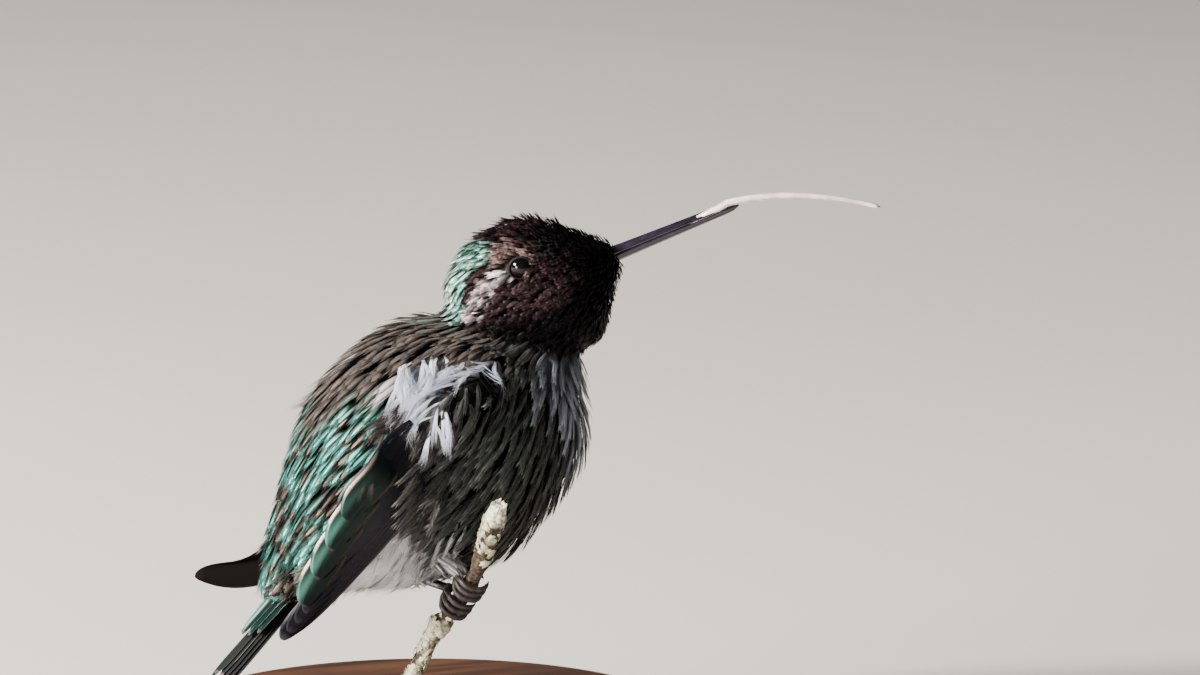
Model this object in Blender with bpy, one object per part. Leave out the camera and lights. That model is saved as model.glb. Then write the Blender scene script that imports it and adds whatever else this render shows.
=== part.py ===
"""A perched male Anna's hummingbird with its tongue out, life size, on a twig and a plain stand.

Metres, +Z up. The bird faces +X with its right side on -Y; the head is turned a little to its right.
The trunk is a loft along the body, the head a loft along the bill's direction, and the two are joined
and then sliced into head, neck and trunk. The wings and tail are curved plates laid against the trunk.
"""
import math

import bmesh
import bpy
import numpy as np
from mathutils import Matrix, Vector

MM = 0.001
GAP = 0.3                       # clearance between pieces that touch, in mm

# Display stand and perch
BASE_RADIUS = 34.0
BASE_HEIGHT = 5.0
BASE_EDGE = 0.8
ROD_RADIUS = 1.1
TWIG_RADIUS = 1.05
TWIG_FOOT = (-3.2, -3.0, 9.2)
TWIG_PATH = ((-3.6, -2.7, 8.2), (-1.3, -4.6, 14.9), (0.9, -6.9, 19.3), (1.5, -12.2, 24.6), (2.0, -17.4, 33.2))

# Trunk, feather tips included: centre x, centre z, half depth, half width at each station
TRUNK_STATIONS = (
    (-19.8, 20.2, 0.9, 1.2),
    (-17.8, 22.6, 3.6, 4.2),
    (-13.8, 26.4, 7.9, 8.6),
    (-6.6, 32.0, 14.3, 12.8),
    (2.4, 38.0, 16.8, 15.0),
    (10.4, 41.8, 13.8, 13.2),
    (15.4, 45.4, 9.0, 9.4),
    (18.2, 48.0, 2.2, 2.4),
)
TRUNK_RINGS = 21
TRUNK_SIDES = 28

# Head, feather tips included, in its own frame: ahead of the eyes, top, bottom, half width
HEAD_CENTRE = (11.7, -2.5, 59.9)
HEAD_YAW = -25.0
HEAD_PITCH = 22.5
HEAD_STATIONS = (
    (-11.0, -1.6, -3.0, 0.8),
    (-10.0, 0.9, -6.6, 4.4),
    (-7.6, 3.3, -10.4, 6.6),
    (-4.0, 4.8, -12.6, 7.6),
    (0.6, 4.9, -13.8, 7.6),
    (4.4, 3.0, -13.8, 6.9),
    (7.2, 0.8, -11.0, 5.4),
    (9.6, -1.2, -7.4, 3.6),
    (11.4, -2.5, -5.2, 1.6),
)
HEAD_FULLNESS = 0.8             # below 1 the cheeks and throat are squarer than an ellipse
HEAD_RINGS = 18
HEAD_SIDES = 26
NECK_LOFT = ((10.4, 0.0, 41.0, 10.4), (10.7, -0.6, 47.4, 10.2), (11.2, -1.8, 54.4, 6.4))

# Cuts that part the head from the neck and the neck from the trunk
HEAD_CUT_POINT = (13.0, -2.0, 50.9)
HEAD_CUT_TILT = 17.0
NECK_CUT_POINT = (13.0, -2.0, 48.6)
NECK_CUT_TILT = 25.0

EYE_RADIUS = 1.6
EYE_SIDE = 5.9                  # from the middle of the head to the eye's centre

BILL_START = 11.3
BILL_DROP = -3.75                # bill's axis below the eyes' level
BILL_UPPER_LENGTH = 13.2
BILL_LOWER_LENGTH = 15.2
BILL_BASE_RADIUS = 0.92
BILL_TIP_RADIUS = 0.62
TONGUE_LENGTH = 19.0
TONGUE_START_ANGLE = -7.0       # degrees above the bill's axis
TONGUE_END_ANGLE = -37.0
TONGUE_ROOT_RADIUS = 0.42
TONGUE_TIP_RADIUS = 0.26

# Wings: shoulder, two handles and tip of the middle line, for the right wing and then the left
WING_RIGHT = ((4.0, -15.4, 47.0), (-8.0, -16.0, 40.4), (-15.4, -13.8, 28.0), (-21.6, -7.6, 17.0))
WING_LEFT = ((4.0, 15.4, 47.0), (-4.0, 16.8, 34.0), (-6.0, 16.2, 18.6), (-26.2, 9.4, 22.4))
WING_HALF_WIDTH = 5.0
WING_THICKNESS = 1.3
WING_TIP_THICKNESS = 0.6
WING_CURL = 15.0                # radius that the wing is bent to across its width

TAIL_ROOT = (-14.4, 0.0, 24.2)
TAIL_TIP = (-27.4, 0.0, 11.4)
TAIL_ROOT_HALF = 2.6
TAIL_END_HALF = 3.3
TAIL_THICKNESS = 0.9
TAIL_NOTCH = 1.6
TAIL_FEATHERS = 10

TOE_RADIUS = 0.34
CLAW_RADIUS = 0.25
FOOT_ROOM = 3.05                # radius kept clear of the belly round the twig at the feet
FRONT_TOE_SWEEP = 205.0
BACK_TOE_SWEEP = 120.0
HEEL_RADIUS = 0.74
TARSUS_RADIUS = 0.5
THIGH_RADIUS = 1.7
FOOT_RIGHT_AT = 0.68            # place along the twig, from its lower end
FOOT_LEFT_AT = 0.545
HIP_RIGHT = (-2.6, -8.0, 26.6)
HIP_LEFT = (-4.4, 3.4, 23.0)


def unit(vector):
    """A copy of a vector, one long."""
    vector = np.asarray(vector, float)
    return vector / np.linalg.norm(vector)


def spline(stations, count):
    """Smooth values between rows of numbers, spaced evenly along the row index (Catmull-Rom)."""
    rows = np.asarray(stations, float)
    padded = np.vstack([2 * rows[0] - rows[1], rows, 2 * rows[-1] - rows[-2]])
    out = []
    for place in np.linspace(0, len(rows) - 1, count):
        k = min(int(place), len(rows) - 2)
        t = place - k
        a, b, c, d = padded[k:k + 4]
        out.append(0.5 * (2 * b + (c - a) * t + (2 * a - 5 * b + 4 * c - d) * t ** 2
                          + (3 * b - a - 3 * c + d) * t ** 3))
    return np.array(out)


def bezier(points, t):
    """A point on the cubic curve through two ends with two handles."""
    a, b, c, d = (np.asarray(p, float) for p in points)
    return (1 - t) ** 3 * a + 3 * (1 - t) ** 2 * t * b + 3 * (1 - t) * t ** 2 * c + t ** 3 * d


def head_axes():
    """Ahead, right and up of the turned and raised head."""
    yaw = math.radians(HEAD_YAW)
    pitch = math.radians(HEAD_PITCH)
    level = np.array([math.cos(yaw), math.sin(yaw), 0.0])
    right = np.array([math.sin(yaw), -math.cos(yaw), 0.0])
    ahead = level * math.cos(pitch) + np.array([0, 0, math.sin(pitch)])
    up = np.cross(right, ahead)
    return ahead, right, up


def head_point(ahead_mm, right_mm, up_mm):
    """World place, in mm, of a point given in the head's own frame."""
    ahead, right, up = head_axes()
    return np.array(HEAD_CENTRE) + ahead * ahead_mm + right * right_mm + up * up_mm


def material(name, color, roughness, metallic=0.0):
    """A Principled material of one colour."""
    made = bpy.data.materials.new(name)
    made.use_nodes = True
    shader = made.node_tree.nodes["Principled BSDF"]
    shader.inputs["Base Color"].default_value = (*color, 1.0)
    shader.inputs["Roughness"].default_value = roughness
    shader.inputs["Metallic"].default_value = metallic
    return made


def add_object(name, bm, made, smooth=True):
    """Turn a bmesh in mm into a named object in metres with one material."""
    bmesh.ops.scale(bm, vec=(MM, MM, MM), verts=bm.verts)
    bmesh.ops.recalc_face_normals(bm, faces=bm.faces)
    mesh = bpy.data.meshes.new(name)
    bm.to_mesh(mesh)
    bm.free()
    mesh.materials.append(made)
    for face in mesh.polygons:
        face.use_smooth = smooth
    obj = bpy.data.objects.new(name, mesh)
    bpy.context.scene.collection.objects.link(obj)
    return obj


def loft(rings, pole_start=None, pole_end=None):
    """A closed bmesh skinned over rings of points; each end is a fan to a pole, or flat without one."""
    bm = bmesh.new()
    loops = [[bm.verts.new(Vector(p)) for p in ring] for ring in rings]
    sides = len(rings[0])
    for low, high in zip(loops, loops[1:]):
        for i in range(sides):
            j = (i + 1) % sides
            bm.faces.new((low[i], low[j], high[j], high[i]))
    for loop, pole in ((loops[0], pole_start), (loops[-1], pole_end)):
        if pole is None:
            bm.faces.new(loop)
            continue
        tip = bm.verts.new(Vector(pole))
        for i in range(sides):
            bm.faces.new((loop[i], loop[(i + 1) % sides], tip))
    bmesh.ops.recalc_face_normals(bm, faces=bm.faces)
    return bm


def tube(path, radii, sides, start_round=True, end_round=True, flat=1.0, flat_axis=None):
    """A closed tube along points, with rounded or flat ends; flat squashes it along flat_axis."""
    path = np.asarray(path, float)
    tangents = np.gradient(path, axis=0)
    side = np.cross(tangents[0], flat_axis if flat_axis is not None else (0.31, 0.87, 0.38))
    rings = []
    for point, along, radius in zip(path, tangents, radii):
        along = unit(along)
        side = unit(side - along * np.dot(side, along))
        other = np.cross(along, side)
        turn = np.linspace(0, 2 * math.pi, sides, endpoint=False)
        rings.append([point + radius * (math.cos(a) * side + flat * math.sin(a) * other) for a in turn])
    first = path[0] - unit(tangents[0]) * radii[0] * 0.55 if start_round else None
    last = path[-1] + unit(tangents[-1]) * radii[-1] * 0.55 if end_round else None
    return loft(rings, first, last)


def combine(obj, cutter, operation):
    """Apply an exact Boolean to an object and remove the other operand."""
    step = obj.modifiers.new(operation.lower(), "BOOLEAN")
    step.operation = operation
    step.solver = "EXACT"
    step.object = cutter
    cutter.hide_render = True
    cutter.display_type = "WIRE"
    graph = bpy.context.evaluated_depsgraph_get()
    graph.update()
    baked = bpy.data.meshes.new_from_object(obj.evaluated_get(graph))
    obj.modifiers.clear()
    old = obj.data
    obj.data = baked
    bpy.data.meshes.remove(old)
    bpy.data.objects.remove(cutter)
    while len(obj.data.materials) > 1:
        obj.data.materials.pop()
    obj.data.materials[0] = MATERIALS[obj["look"]]
    for face in obj.data.polygons:
        face.material_index = 0
        face.use_smooth = True
    return obj


def trunk_bmesh():
    """The feathered trunk: elliptical rings square to the line of the body."""
    rows = spline(TRUNK_STATIONS, TRUNK_RINGS)
    centres = np.column_stack([rows[:, 0], np.zeros(len(rows)), rows[:, 1]])
    tangents = np.gradient(centres, axis=0)
    rings = []
    for centre, along, (depth, width) in zip(centres, tangents, rows[:, 2:]):
        along = unit(along)
        back = np.array([-along[2], 0.0, along[0]])
        turn = np.linspace(0, 2 * math.pi, TRUNK_SIDES, endpoint=False)
        rings.append([centre + depth * math.cos(a) * back + width * math.sin(a) * np.array([0, 1.0, 0])
                      for a in turn])
    return loft(rings, centres[0] - unit(tangents[0]) * 0.6, centres[-1] + unit(tangents[-1]) * 0.7)


def head_bmesh():
    """The feathered head with its full throat: rings square to the head's own axis."""
    rows = spline(HEAD_STATIONS, HEAD_RINGS)
    rings = []
    for along, top, bottom, width in rows:
        middle = top - (top - bottom) * 0.42
        turn = np.linspace(0, 2 * math.pi, HEAD_SIDES, endpoint=False)
        ring = []
        for a in turn:
            rise = (top - middle) if math.cos(a) > 0 else (middle - bottom)
            across = math.copysign(abs(math.sin(a)) ** HEAD_FULLNESS, math.sin(a))
            ring.append(head_point(along, width * across, middle + rise * math.cos(a)))
        rings.append(ring)
    first = head_point(HEAD_STATIONS[0][0] - 0.4, 0, -1.9)
    last = head_point(HEAD_STATIONS[-1][0] + 0.3, 0, -3.0)
    return loft(rings, first, last)


def neck_bmesh():
    """A short thick tube that fills the hollow between trunk and head."""
    rows = spline(NECK_LOFT, 9)
    return tube(rows[:, :3], rows[:, 3], 32)


def cut_normal(tilt):
    """Upward normal of a cut across the neck that falls toward the front by a tilt in degrees."""
    yaw = math.radians(HEAD_YAW)
    tilt = math.radians(tilt)
    return np.array([math.cos(yaw) * math.sin(tilt), math.sin(yaw) * math.sin(tilt), math.cos(tilt)])


def keep_side(obj, point, normal, name, above):
    """A closed copy of an object, kept on one side of a plane and shut with a flat face."""
    bm = bmesh.new()
    bm.from_mesh(obj.data)
    everything = bm.verts[:] + bm.edges[:] + bm.faces[:]
    bmesh.ops.bisect_plane(bm, geom=everything, dist=1e-7, plane_co=Vector(point) * MM,
                           plane_no=Vector(normal), clear_inner=above, clear_outer=not above)
    rim = [e for e in bm.edges if e.is_boundary]
    bmesh.ops.holes_fill(bm, edges=rim, sides=0)
    bmesh.ops.recalc_face_normals(bm, faces=bm.faces)
    mesh = bpy.data.meshes.new(name)
    bm.to_mesh(mesh)
    bm.free()
    for look in obj.data.materials:
        mesh.materials.append(look)
    made = bpy.data.objects.new(name, mesh)
    bpy.context.scene.collection.objects.link(made)
    return made


def trim(obj, point, normal, above):
    """Cut an object flat at a plane and keep one side of it."""
    trimmed = keep_side(obj, point, normal, "trimmed", above)
    obj.data = trimmed.data
    bpy.data.objects.remove(trimmed)


def build_body():
    """Head, neck and trunk, sliced from one joined form."""
    whole = add_object("whole", trunk_bmesh(), MATERIALS["back_green"])
    whole["look"] = "back_green"
    for more in (neck_bmesh(), head_bmesh()):
        combine(whole, add_object("more", more, MATERIALS["back_green"]), "UNION")
    head_normal = cut_normal(HEAD_CUT_TILT)
    neck_normal = cut_normal(NECK_CUT_TILT)
    head_at = np.array(HEAD_CUT_POINT)
    neck_at = np.array(NECK_CUT_POINT)
    head = keep_side(whole, head_at + head_normal * GAP / 2, head_normal, "head", True)
    lower = keep_side(whole, head_at - head_normal * GAP / 2, head_normal, "lower", False)
    neck = keep_side(lower, neck_at + neck_normal * GAP / 2, neck_normal, "neck", True)
    trunk = keep_side(lower, neck_at - neck_normal * GAP / 2, neck_normal, "trunk", False)
    for spare in (whole, lower):
        bpy.data.objects.remove(spare)
    for obj, look in ((head, "gorget_rose"), (neck, "gorget_rose"), (trunk, "back_green")):
        obj["look"] = look
        obj.data.materials.clear()
        obj.data.materials.append(MATERIALS[look])
        for face in obj.data.polygons:
            face.use_smooth = True
    return head, neck, trunk


def ball(centre, radius):
    """A round ball."""
    bm = bmesh.new()
    bmesh.ops.create_uvsphere(bm, u_segments=16, v_segments=11, radius=radius)
    bmesh.ops.translate(bm, verts=bm.verts, vec=Vector(centre))
    return bm


def bill_bmesh(upper, length):
    """Half of the bill: a tapering rod, flat where it faces the other half."""
    ahead, right, up = head_axes()
    sign = 1 if upper else -1
    rings = []
    for t in np.linspace(0, 1, 9):
        radius = BILL_BASE_RADIUS + (BILL_TIP_RADIUS - BILL_BASE_RADIUS) * t ** 0.8
        radius *= 1 if t < 0.93 else 0.72
        middle = head_point(BILL_START + length * t, 0, BILL_DROP + sign * GAP / 2)
        ring = []
        for a in np.linspace(0, math.pi, 9):
            ring.append(middle + right * radius * math.cos(a) + up * sign * radius * 0.9 * math.sin(a))
        for side in (-0.5, 0.0, 0.5):
            ring.append(middle + right * radius * side)
        rings.append(ring)
    return loft(rings)


def tongue_bmesh():
    """The tongue: a soft flat strand that leaves the bill and droops in a long arc."""
    ahead, _, up = head_axes()
    place = head_point(BILL_START + BILL_UPPER_LENGTH + GAP, 0, BILL_DROP + GAP / 2 + 0.45)
    steps = 16
    path = [place]
    for k in range(steps):
        part = k / (steps - 1)
        angle = TONGUE_START_ANGLE + (TONGUE_END_ANGLE - TONGUE_START_ANGLE) * part ** 0.8
        angle = math.radians(angle)
        place = place + (ahead * math.cos(angle) + up * math.sin(angle)) * TONGUE_LENGTH / steps
        path.append(place)
    radii = np.linspace(TONGUE_ROOT_RADIUS, TONGUE_TIP_RADIUS, len(path))
    return tube(path, radii, 8)


def wing_bmesh(line, side, grow=0.0):
    """A folded wing: a blade bent round the body, widest at the coverts and pointed at the tip."""
    rings = []
    outward = np.array([0.0, -1.0 if side == "right" else 1.0, 0.0])
    for t in np.linspace(0.0, 1.0, 18):
        place = bezier(line, t)
        along = unit(bezier(line, min(t + 0.01, 1)) - bezier(line, max(t - 0.01, 0)))
        normal = unit(outward - along * np.dot(outward, along))
        across = np.cross(along, normal)
        if across[2] < 0:
            across = -across
        swell = min(1.0, 0.62 + 1.9 * t) * (1 - max(0.0, (t - 0.42) / 0.62) ** 2.1)
        half = max(WING_HALF_WIDTH * swell, 0.9) + grow
        thick = WING_THICKNESS + (WING_TIP_THICKNESS - WING_THICKNESS) * min(1.0, t * 1.3)
        thick = thick / 2 + grow
        ring = []
        for a in np.linspace(0, 2 * math.pi, 12, endpoint=False):
            v = math.cos(a)
            bend = -(v * half) ** 2 / (2 * WING_CURL)
            rise = math.copysign(abs(math.sin(a)) ** 0.6, math.sin(a)) * thick
            ring.append(place + across * v * half + normal * (bend + rise))
        rings.append(ring)
    start = bezier(line, 0.0)
    end = bezier(line, 1.0)
    out_start = unit(start - bezier(line, 0.03))
    out_end = unit(end - bezier(line, 0.97))
    return loft(rings, start + out_start * (1.6 + grow), end + out_end * (0.9 + grow))


def tail_bmesh(grow=0.0):
    """The folded tail: a flat fan with a shallow notch, scalloped by the ends of its feathers."""
    root = np.array(TAIL_ROOT)
    tip = np.array(TAIL_TIP)
    along = unit(tip - root)
    back = np.array([along[2], 0.0, -along[0]])
    length = np.linalg.norm(tip - root)
    columns = TAIL_FEATHERS * 2
    bm = bmesh.new()
    grids = []
    for sign in (1, -1):
        grid = []
        for i in range(columns + 1):
            v = -1 + 2 * i / columns
            scallop = 0.45 * abs(math.sin(math.pi * i / 2))
            reach = length - TAIL_NOTCH * (1 - abs(v)) ** 1.5 - 1.2 * abs(v) ** 6 + scallop + grow
            column = []
            for t in (0.0, 0.3, 0.6, 0.85, 1.0):
                half = (TAIL_ROOT_HALF + (TAIL_END_HALF - TAIL_ROOT_HALF) * t ** 0.8) + grow
                bend = -(v * half) ** 2 / 26.0
                lift = sign * (TAIL_THICKNESS * (1 - 0.25 * t) / 2 + grow)
                column.append(bm.verts.new(Vector(root + along * reach * t + np.array([0, 1.0, 0]) * v * half
                                                  + back * (bend + lift))))
            grid.append(column)
        grids.append(grid)
    top, low = grids
    for grid in grids:
        for a, b in zip(grid, grid[1:]):
            for k in range(len(a) - 1):
                bm.faces.new((a[k], a[k + 1], b[k + 1], b[k]))
    for k in range(len(top[0]) - 1):
        bm.faces.new((top[0][k], top[0][k + 1], low[0][k + 1], low[0][k]))
        bm.faces.new((top[-1][k], top[-1][k + 1], low[-1][k + 1], low[-1][k]))
    for i in range(columns):
        bm.faces.new((top[i][0], top[i + 1][0], low[i + 1][0], low[i][0]))
        bm.faces.new((top[i][-1], top[i + 1][-1], low[i + 1][-1], low[i][-1]))
    bmesh.ops.recalc_face_normals(bm, faces=bm.faces)
    return bm


def twig_line(count=28):
    """The twig's middle line, from its lower end."""
    return spline(TWIG_PATH, count)


def twig_bmesh(grow=0.0, foot_room=0.0):
    """The twig: slightly lumpy, with swollen nodes and a broken upper end."""
    path = twig_line()
    radii = []
    for k, t in enumerate(np.linspace(0, 1, len(path))):
        lump = 0.1 * math.sin(23 * t + 0.6) + 0.08 * math.sin(41 * t)
        knot = 0.3 * math.exp(-((t - 0.36) / 0.035) ** 2) + 0.3 * math.exp(-((t - 0.93) / 0.05) ** 2)
        room = foot_room * math.exp(-((t - (FOOT_RIGHT_AT + FOOT_LEFT_AT) / 2) / 0.17) ** 4)
        radii.append(max(TWIG_RADIUS + lump + knot + grow, room))
    return tube(path, radii, 12, start_round=False)


def grip_frame(place):
    """Point, direction and radius of the twig at a share of its length."""
    path = twig_line(200)
    k = int(place * 199)
    along = unit(path[k + 1] - path[k - 1])
    return path[k], along


def foot_object(name, place, hip):
    """A foot closed round the twig: three toes over the front, one behind, and the bare shank."""
    point, along = grip_frame(place)
    hip = np.array(hip)
    toward = hip - point
    toward = unit(toward - along * np.dot(toward, along))
    other = np.cross(along, toward)
    ring_radius = TWIG_RADIUS + 0.14 + GAP + TOE_RADIUS
    heel = point + toward * (ring_radius + 0.1)
    foot = add_object(name, ball(heel, HEEL_RADIUS), MATERIALS["foot_black"])
    foot["look"] = "foot_black"
    toes = [(-1.1, FRONT_TOE_SWEEP), (0.0, FRONT_TOE_SWEEP + 12), (1.1, FRONT_TOE_SWEEP), (0.0, -BACK_TOE_SWEEP)]
    for shift, sweep in toes:
        path = []
        radii = []
        count = 10
        for k in range(count):
            t = k / (count - 1)
            angle = math.radians(sweep) * t
            slide = shift * min(1.0, 3.2 * t)
            lift = 0.14 * math.sin(math.pi * min(1.0, 3 * t)) if shift else 0.0
            direction = toward * math.cos(angle) + other * math.sin(angle)
            path.append(point + along * slide + direction * (ring_radius + lift))
            claw = max(0.0, (t - 0.8) / 0.2)
            radii.append(TOE_RADIUS + (CLAW_RADIUS - TOE_RADIUS) * claw + 0.03 * math.sin(t * 19) * (1 - claw))
        combine(foot, add_object("toe", tube(path, radii, 7), MATERIALS["foot_black"]), "UNION")
    return foot


def leg_bmesh(place, hip, grow=0.0):
    """A leg from the hip down to the foot: a feathered thigh that narrows to the bare shank."""
    point, along = grip_frame(place)
    hip = np.array(hip)
    toward = hip - point
    toward = unit(toward - along * np.dot(toward, along))
    heel = point + toward * (TWIG_RADIUS + 0.14 + GAP + TOE_RADIUS + 0.1)
    end = heel + unit(hip - heel) * (HEEL_RADIUS + GAP - grow)
    path = np.linspace(hip, end, 8)
    share = np.linspace(0, 1, 8)
    radii = TARSUS_RADIUS + (THIGH_RADIUS - TARSUS_RADIUS) * (1 - share) ** 1.6 + grow
    return tube(path, radii, 10, end_round=False)


def base_bmesh():
    """The flat round base, turned with a soft upper edge."""
    bm = bmesh.new()
    bmesh.ops.create_cone(bm, cap_ends=True, segments=56, radius1=BASE_RADIUS, radius2=BASE_RADIUS,
                          depth=BASE_HEIGHT)
    bmesh.ops.translate(bm, verts=bm.verts, vec=(0, 0, BASE_HEIGHT / 2))
    rim = [e for e in bm.edges if all(v.co.z > BASE_HEIGHT - 0.01 for v in e.verts)]
    bmesh.ops.bevel(bm, geom=rim, offset=BASE_EDGE, segments=2, affect="EDGES", profile=0.5, material=-1)
    return bm


def build_all():
    """Make every piece, clear the touching ones of each other, and set the model on its middle."""
    head, neck, trunk = build_body()
    for sign, name in ((1, "eye_right"), (-1, "eye_left")):
        centre = head_point(0, sign * EYE_SIDE, 0)
        combine(head, add_object("socket", ball(centre, EYE_RADIUS + GAP), MATERIALS["eye_black"]), "DIFFERENCE")
        add_object(name, ball(centre, EYE_RADIUS), MATERIALS["eye_black"])

    add_object("bill_upper", bill_bmesh(True, BILL_UPPER_LENGTH), MATERIALS["bill_black"])
    add_object("bill_lower", bill_bmesh(False, BILL_LOWER_LENGTH), MATERIALS["bill_black"])
    trim(head, head_point(BILL_START - GAP, 0, 0), head_axes()[0], False)
    add_object("tongue", tongue_bmesh(), MATERIALS["tongue_pink"])

    for side, line in (("right", WING_RIGHT), ("left", WING_LEFT)):
        add_object("wing_" + side, wing_bmesh(line, side), MATERIALS["wing_black"])
        combine(trunk, add_object("recess", wing_bmesh(line, side, GAP), MATERIALS["wing_black"]), "DIFFERENCE")

    add_object("tail", tail_bmesh(), MATERIALS["wing_black"])
    combine(trunk, add_object("slot", tail_bmesh(GAP), MATERIALS["wing_black"]), "DIFFERENCE")

    twig = add_object("perch_twig", twig_bmesh(), MATERIALS["lichen_bark"])
    trim(twig, TWIG_FOOT, (0, 0, 1), True)
    combine(trunk, add_object("groove", twig_bmesh(GAP, FOOT_ROOM), MATERIALS["lichen_bark"]), "DIFFERENCE")

    for side, place, hip in (("right", FOOT_RIGHT_AT, HIP_RIGHT), ("left", FOOT_LEFT_AT, HIP_LEFT)):
        foot_object("foot_" + side, place, hip)
        add_object("leg_" + side, leg_bmesh(place, hip), MATERIALS["thigh_white"])
        combine(trunk, add_object("hip_hole", leg_bmesh(place, hip, GAP), MATERIALS["thigh_white"]), "DIFFERENCE")

    add_object("stand_base", base_bmesh(), MATERIALS["oiled_wood"])
    rod = [(TWIG_FOOT[0], TWIG_FOOT[1], z) for z in (BASE_HEIGHT + GAP, TWIG_FOOT[2] - GAP)]
    add_object("stand_rod", tube(rod, (ROD_RADIUS, ROD_RADIUS), 24, False, False), MATERIALS["brass_rod"])


def settle():
    """Move everything so that the middle of the model's underside is the origin."""
    corners = np.array([obj.matrix_world @ v.co for obj in bpy.data.objects if obj.type == "MESH"
                        for v in obj.data.vertices])
    low = corners.min(axis=0)
    high = corners.max(axis=0)
    shift = Vector((-(low[0] + high[0]) / 2, -(low[1] + high[1]) / 2, -low[2]))
    for obj in bpy.data.objects:
        if obj.type == "MESH":
            obj.data.transform(Matrix.Translation(shift))


for old in list(bpy.data.objects):
    bpy.data.objects.remove(old)

MATERIALS = {
    "gorget_rose": material("gorget_rose", (0.10, 0.02, 0.04), 0.45),
    "back_green": material("back_green", (0.06, 0.16, 0.12), 0.45),
    "wing_black": material("wing_black", (0.02, 0.02, 0.03), 0.45),
    "eye_black": material("eye_black", (0.01, 0.01, 0.01), 0.06),
    "bill_black": material("bill_black", (0.03, 0.03, 0.04), 0.3),
    "tongue_pink": material("tongue_pink", (0.62, 0.42, 0.42), 0.25),
    "thigh_white": material("thigh_white", (0.62, 0.62, 0.64), 0.8),
    "foot_black": material("foot_black", (0.04, 0.03, 0.03), 0.5),
    "lichen_bark": material("lichen_bark", (0.32, 0.31, 0.24), 0.85),
    "oiled_wood": material("oiled_wood", (0.20, 0.12, 0.07), 0.5),
    "brass_rod": material("brass_rod", (0.72, 0.55, 0.28), 0.3, 1.0),
}
build_all()
settle()
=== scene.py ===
# %% [markdown]
# # A perched hummingbird, feather by feather
# The solids give the size, the pose and the outline out to the feather tips. This lesson dresses them:
# one skin under the coat, thousands of feathers that lie along the body, flight feathers, eyes with
# lids, a horn bill with the tongue out, scaled feet on a lichened twig, and the small turned stand.

# %% Load the solids
import math
from itertools import product

import bmesh
import bpy
import numpy as np
from mathutils import Matrix, Vector
from mathutils.bvhtree import BVHTree


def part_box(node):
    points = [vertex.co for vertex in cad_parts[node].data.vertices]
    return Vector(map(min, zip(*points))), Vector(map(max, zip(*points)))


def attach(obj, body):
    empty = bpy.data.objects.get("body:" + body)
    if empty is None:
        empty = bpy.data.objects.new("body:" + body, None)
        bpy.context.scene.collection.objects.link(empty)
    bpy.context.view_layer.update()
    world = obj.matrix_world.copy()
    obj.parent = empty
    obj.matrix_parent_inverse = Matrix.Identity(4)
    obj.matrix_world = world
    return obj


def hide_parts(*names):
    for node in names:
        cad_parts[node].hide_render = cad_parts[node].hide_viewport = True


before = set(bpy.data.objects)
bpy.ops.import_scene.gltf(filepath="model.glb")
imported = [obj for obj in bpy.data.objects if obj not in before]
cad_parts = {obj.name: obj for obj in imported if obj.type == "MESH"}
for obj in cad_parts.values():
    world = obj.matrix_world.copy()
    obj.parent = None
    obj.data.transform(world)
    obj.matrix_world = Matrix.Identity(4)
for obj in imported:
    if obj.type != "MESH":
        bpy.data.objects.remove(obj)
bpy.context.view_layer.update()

# %% [markdown]
# The bird is drawn in millimetres from a zero of its own, straight above the middle of the stand.
# Working in the bird's own numbers keeps every size readable; one function puts a finished piece into
# the shared frame, in metres.

# %% The bird's own zero, and unit vectors
MM = 0.001
stand_low, stand_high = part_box("stand_base")
ZERO = np.array([(stand_low.x + stand_high.x) / 2, (stand_low.y + stand_high.y) / 2, 0.0]) / MM
rng = np.random.default_rng(20)


def unit(v):
    """Rows of vectors, each one long."""
    v = np.asarray(v, float)
    return v / np.maximum(np.linalg.norm(v, axis=-1, keepdims=True), 1e-12)


def smooth(low, high, value):
    """0 below low, 1 above high and an S-curve between, whichever way round they are."""
    t = np.clip((np.asarray(value, float) - low) / (high - low), 0, 1)
    return t * t * (3 - 2 * t)


# %% [markdown]
# Two sets of axes describe the plumage. The trunk's run from the tail's root to the chest. The head's
# are its own, because it is turned to the right and raised. Markings and the lie of the feathers are
# worked out in these, so both sides of the bird get the same pattern.

# %% Axes of the trunk and of the head
TAIL_END = np.array([-19.8, 0.0, 20.2])
ALONG = unit([0.77, 0.0, 0.64])
BACKWARD_UP = np.array([-ALONG[2], 0.0, ALONG[0]])
HEAD_CENTRE = np.array([11.7, -2.5, 59.9])
HEAD_YAW, HEAD_PITCH = math.radians(-25.0), math.radians(22.5)
level = np.array([math.cos(HEAD_YAW), math.sin(HEAD_YAW), 0.0])
HEAD_RIGHT = np.array([math.sin(HEAD_YAW), -math.cos(HEAD_YAW), 0.0])
HEAD_AHEAD = level * math.cos(HEAD_PITCH) + np.array([0, 0, math.sin(HEAD_PITCH)])
HEAD_UP = np.cross(HEAD_RIGHT, HEAD_AHEAD)
HEAD_CUT = np.array([13.0, -2.0, 50.9])
cut_tilt = math.radians(17.0)
HEAD_CUT_UP = level * math.sin(cut_tilt) + np.array([0, 0, math.cos(cut_tilt)])
BILL_AT, BILL_DROP = 11.3, -3.75


def head_point(ahead, right, up):
    """A place given ahead, right and up of the middle of the head between the eyes."""
    return HEAD_CENTRE + HEAD_AHEAD * ahead + HEAD_RIGHT * right + HEAD_UP * up


def trunk_place(p):
    """Distance along the trunk, height above its line, and angle round it from the back (degrees)."""
    r = p - TAIL_END
    run = r @ ALONG
    rise = r @ BACKWARD_UP + smooth(28, 40, run) * 2.6
    return run, rise, np.degrees(np.arctan2(np.abs(p[..., 1]), rise))


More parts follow.
